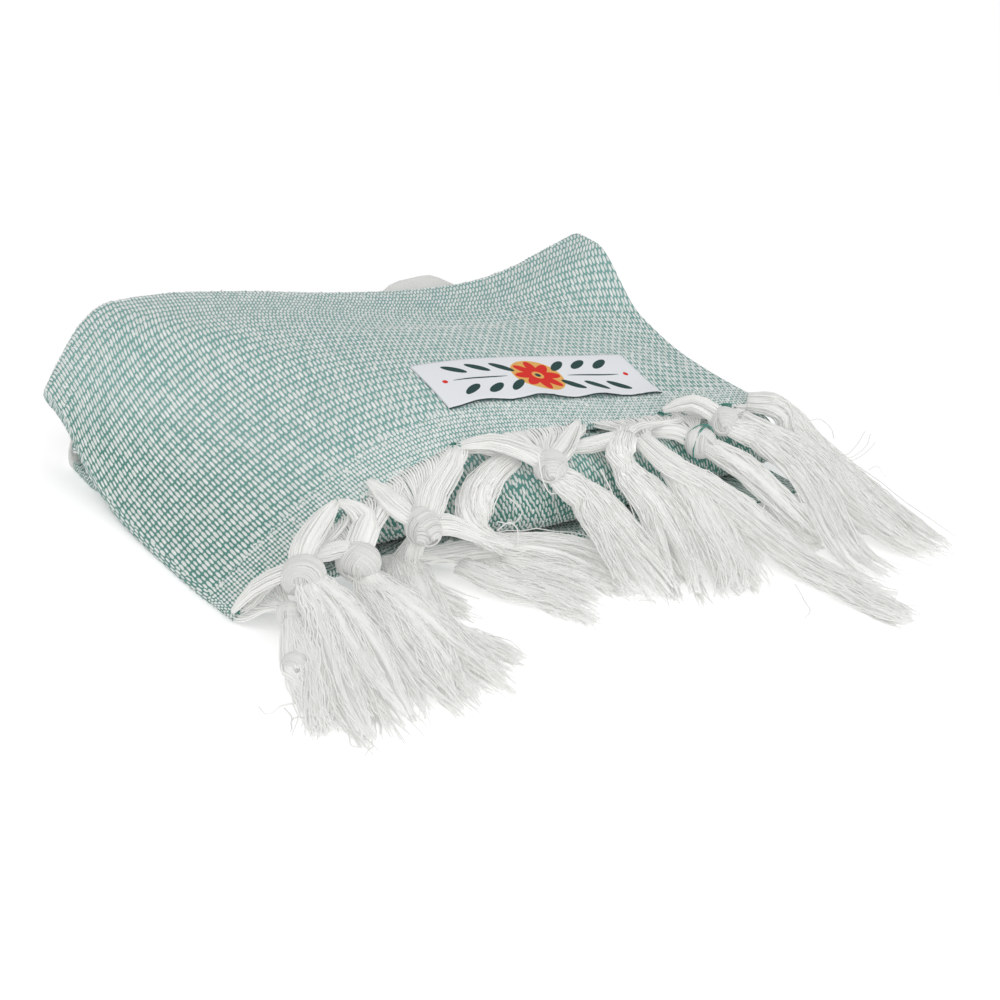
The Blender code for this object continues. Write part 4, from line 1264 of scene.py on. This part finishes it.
# Stray yarns: single warp ends that curl out of the fans and tails, and a few cut stubs.
STRAY_STEP = 2.0
STRAYS = (
    ((-9, -64, 1), (-16, -62, 1), (-23, -64, 1), (-23, -55, 1)),
    ((-16, -64, 1), (-17, -71, 1), (-21, -76, 1), (-23, -81, 1)),
    ((-13, -74, 1), (-16, -73, 2), (-19, -75, 1)),
    ((102, -20, 21), (107, -23, 20), (111, -23, 24), (107, -22, 29), (106, -20, 30)),
    ((99, -24, 20), (103, -26, 23), (107, -26, 19), (107, -26, 14), (108, -22, 4)),
    ((116, -26, 47), (117, -27, 38), (120, -28, 31), (124, -28, 30), (125, -28, 33)),
    ((139, -34, 38), (142, -38, 28), (142, -40, 19), (137, -44, 13), (134, -46, 8)),
    ((156, -36, 27), (161, -40, 21), (154, -42, 19), (155, -44, 12), (159, -48, 7)),
    ((108, -26, 3), (109, -32, 1), (113, -38, 1), (121, -33, 1), (122, -29, 3)),
    ((95, -12, 4), (98, -12, 2), (100, -15, 1), (107, -12, 2), (110, -13, 5)),
    ((119, -27, 5), (122, -28, 9), (126, -27, 9), (126, -34, 4), (123, -43, 1)),
    ((118, -22, 13), (119, -22, 9), (115, -27, 7)),
    ((50, -60, 5), (61, -51, 3), (63, -55, 2), (59, -62, 1), (49, -64, 3)),
    ((48, -66, 4), (44, -78, 2), (36, -94, 1)),
    ((257, -17, 22), (262, -19, 23), (266, -22, 19), (268, -22, 14)),
    ((259, -28, 13), (267, -30, 10), (273, -30, 13), (277, -30, 18)),
    ((262, -30, 10), (269, -32, 9), (277, -32, 12), (279, -32, 17)),
    ((264, -31, 8), (270, -33, 8), (277, -33, 10), (281, -33, 13)),
    ((271, -40, 6), (276, -40, 6), (279, -41, 1), (282, -42, 1)),
    ((208, -52, 14), (207, -54, 10), (211, -56, 8), (211, -67, 6)),
    ((197, -56, 10), (202, -55, 14), (205, -51, 15)),
    ((183, -96, 3), (180, -105, 1), (176, -113, 1), (169, -121, 1)),
    ((246, -102, 4), (253, -102, 1), (254, -107, 1)),
    ((128, -73, 3), (134, -73, 1), (135, -79, 1)),
    ((-4, -101, 2), (-6, -106, 1), (-10, -110, 1)),
    ((-8, -93, 2), (-10, -98, 1), (-10, -102, 1)),
)
STUB_ROOT = (76.0, -10.0, 8.0)
STUB_ENDS = ((90, -7, 11), (93, -9, 10), (92, -13, 9), (90, -17, 9), (86, -20, 8), (94, -14, 6))
skeins = []
for end in STUB_ENDS:
    middle = mix(np.array(STUB_ROOT), np.array(end), 0.55) + (0.0, 0.0, 1.2)
    route = [(*STUB_ROOT, 0.4), (*middle, 0.7), (*end, 0.8)]
    skeins += band_skeins(route, yarns=4, wave=0.3, step=STRAY_STEP)
for stray in STRAYS:
    skeins += band_skeins([(*place, 0.35) for place in stray], yarns=1, wave=0.0, step=STRAY_STEP)
stray_yarns = yarn_piece("stray_yarns", skeins, fringe_cotton)

# Weft ends: the green weft is knotted off where two fans part, and a few of its threads
# are caught in the knots.
WEFT_ENDS = (0.8, 45.0, 96.5, 153.0, 195.0, 228.0)
WEFT_THREADS = 9
WEFT_SPREAD = 1.8
WEFT_ROOT_SPREAD = 0.7
BOUND_KNOT = (197.0, -22.0, 30.0)
BOUND_RADIUS = 6.8
BOUND_THREADS = ((-1.6, 0.25), (-0.9, 0.3), (1.5, -0.2))
BOUND_TURN = 1.9 * math.pi
BOUND_POINTS = 24
BOUND_THICKNESS = 0.25
weft_cotton = new_material("green cotton weft", Base_Color=linear(GREEN_WEFT), Roughness=0.9)[0]
skeins = []
for x in WEFT_ENDS:
    root = top_hem(x)
    for _ in range(WEFT_THREADS):
        tip = root + (chance.normal(0.0, WEFT_SPREAD), -chance.uniform(1.5, 4.0), chance.uniform(-0.5, 1.2))
        start = root + (chance.normal(0.0, WEFT_ROOT_SPREAD), 0.8, 0.3)
        route = [(*start, 0.3), (*mix(start, tip, 0.5), 0.5), (*tip, 0.4)]
        skeins += band_skeins(route, yarns=1, wave=0.0)
for shift, slant in BOUND_THREADS:
    turn = np.linspace(0.0, BOUND_TURN, BOUND_POINTS)[:, None]
    side = unit(np.array([0.82, slant, 0.2]))
    loop = np.array(BOUND_KNOT) + (0.0, shift, 0.0)
    loop = loop + BOUND_RADIUS * (np.cos(turn) * side + np.sin(turn) * UP)
    radii = np.full((1, BOUND_POINTS), BOUND_THICKNESS)
    skeins.append(Skein(loop[None], radii, np.array([0.5]), 3))
weft_ends = yarn_piece("weft_ends", skeins, weft_cotton)

# The label's edge line: a thin dark green line laid just beneath its loose lower edge.
EDGE_LINE_RADIUS = 0.24
EDGE_LINE_OFFSET = (0.0, -0.3, 0.1)
EDGE_LINE_JITTER = 0.12
dark_edge_green = linear("#1D3A37")
edge_line_finish = new_material("dark green edge line", Base_Color=dark_edge_green, Roughness=0.7)[0]
edge = np.array(label_low[: LABEL_ACROSS + 1 : 2]) + EDGE_LINE_OFFSET
edge[:, 2] += chance.uniform(-EDGE_LINE_JITTER, EDGE_LINE_JITTER, len(edge))
edge_line = Skein(edge[None], np.full((1, len(edge)), EDGE_LINE_RADIUS), np.array([0.5]), 4)
label_edge_line = yarn_piece("label_edge_line", [edge_line], edge_line_finish)
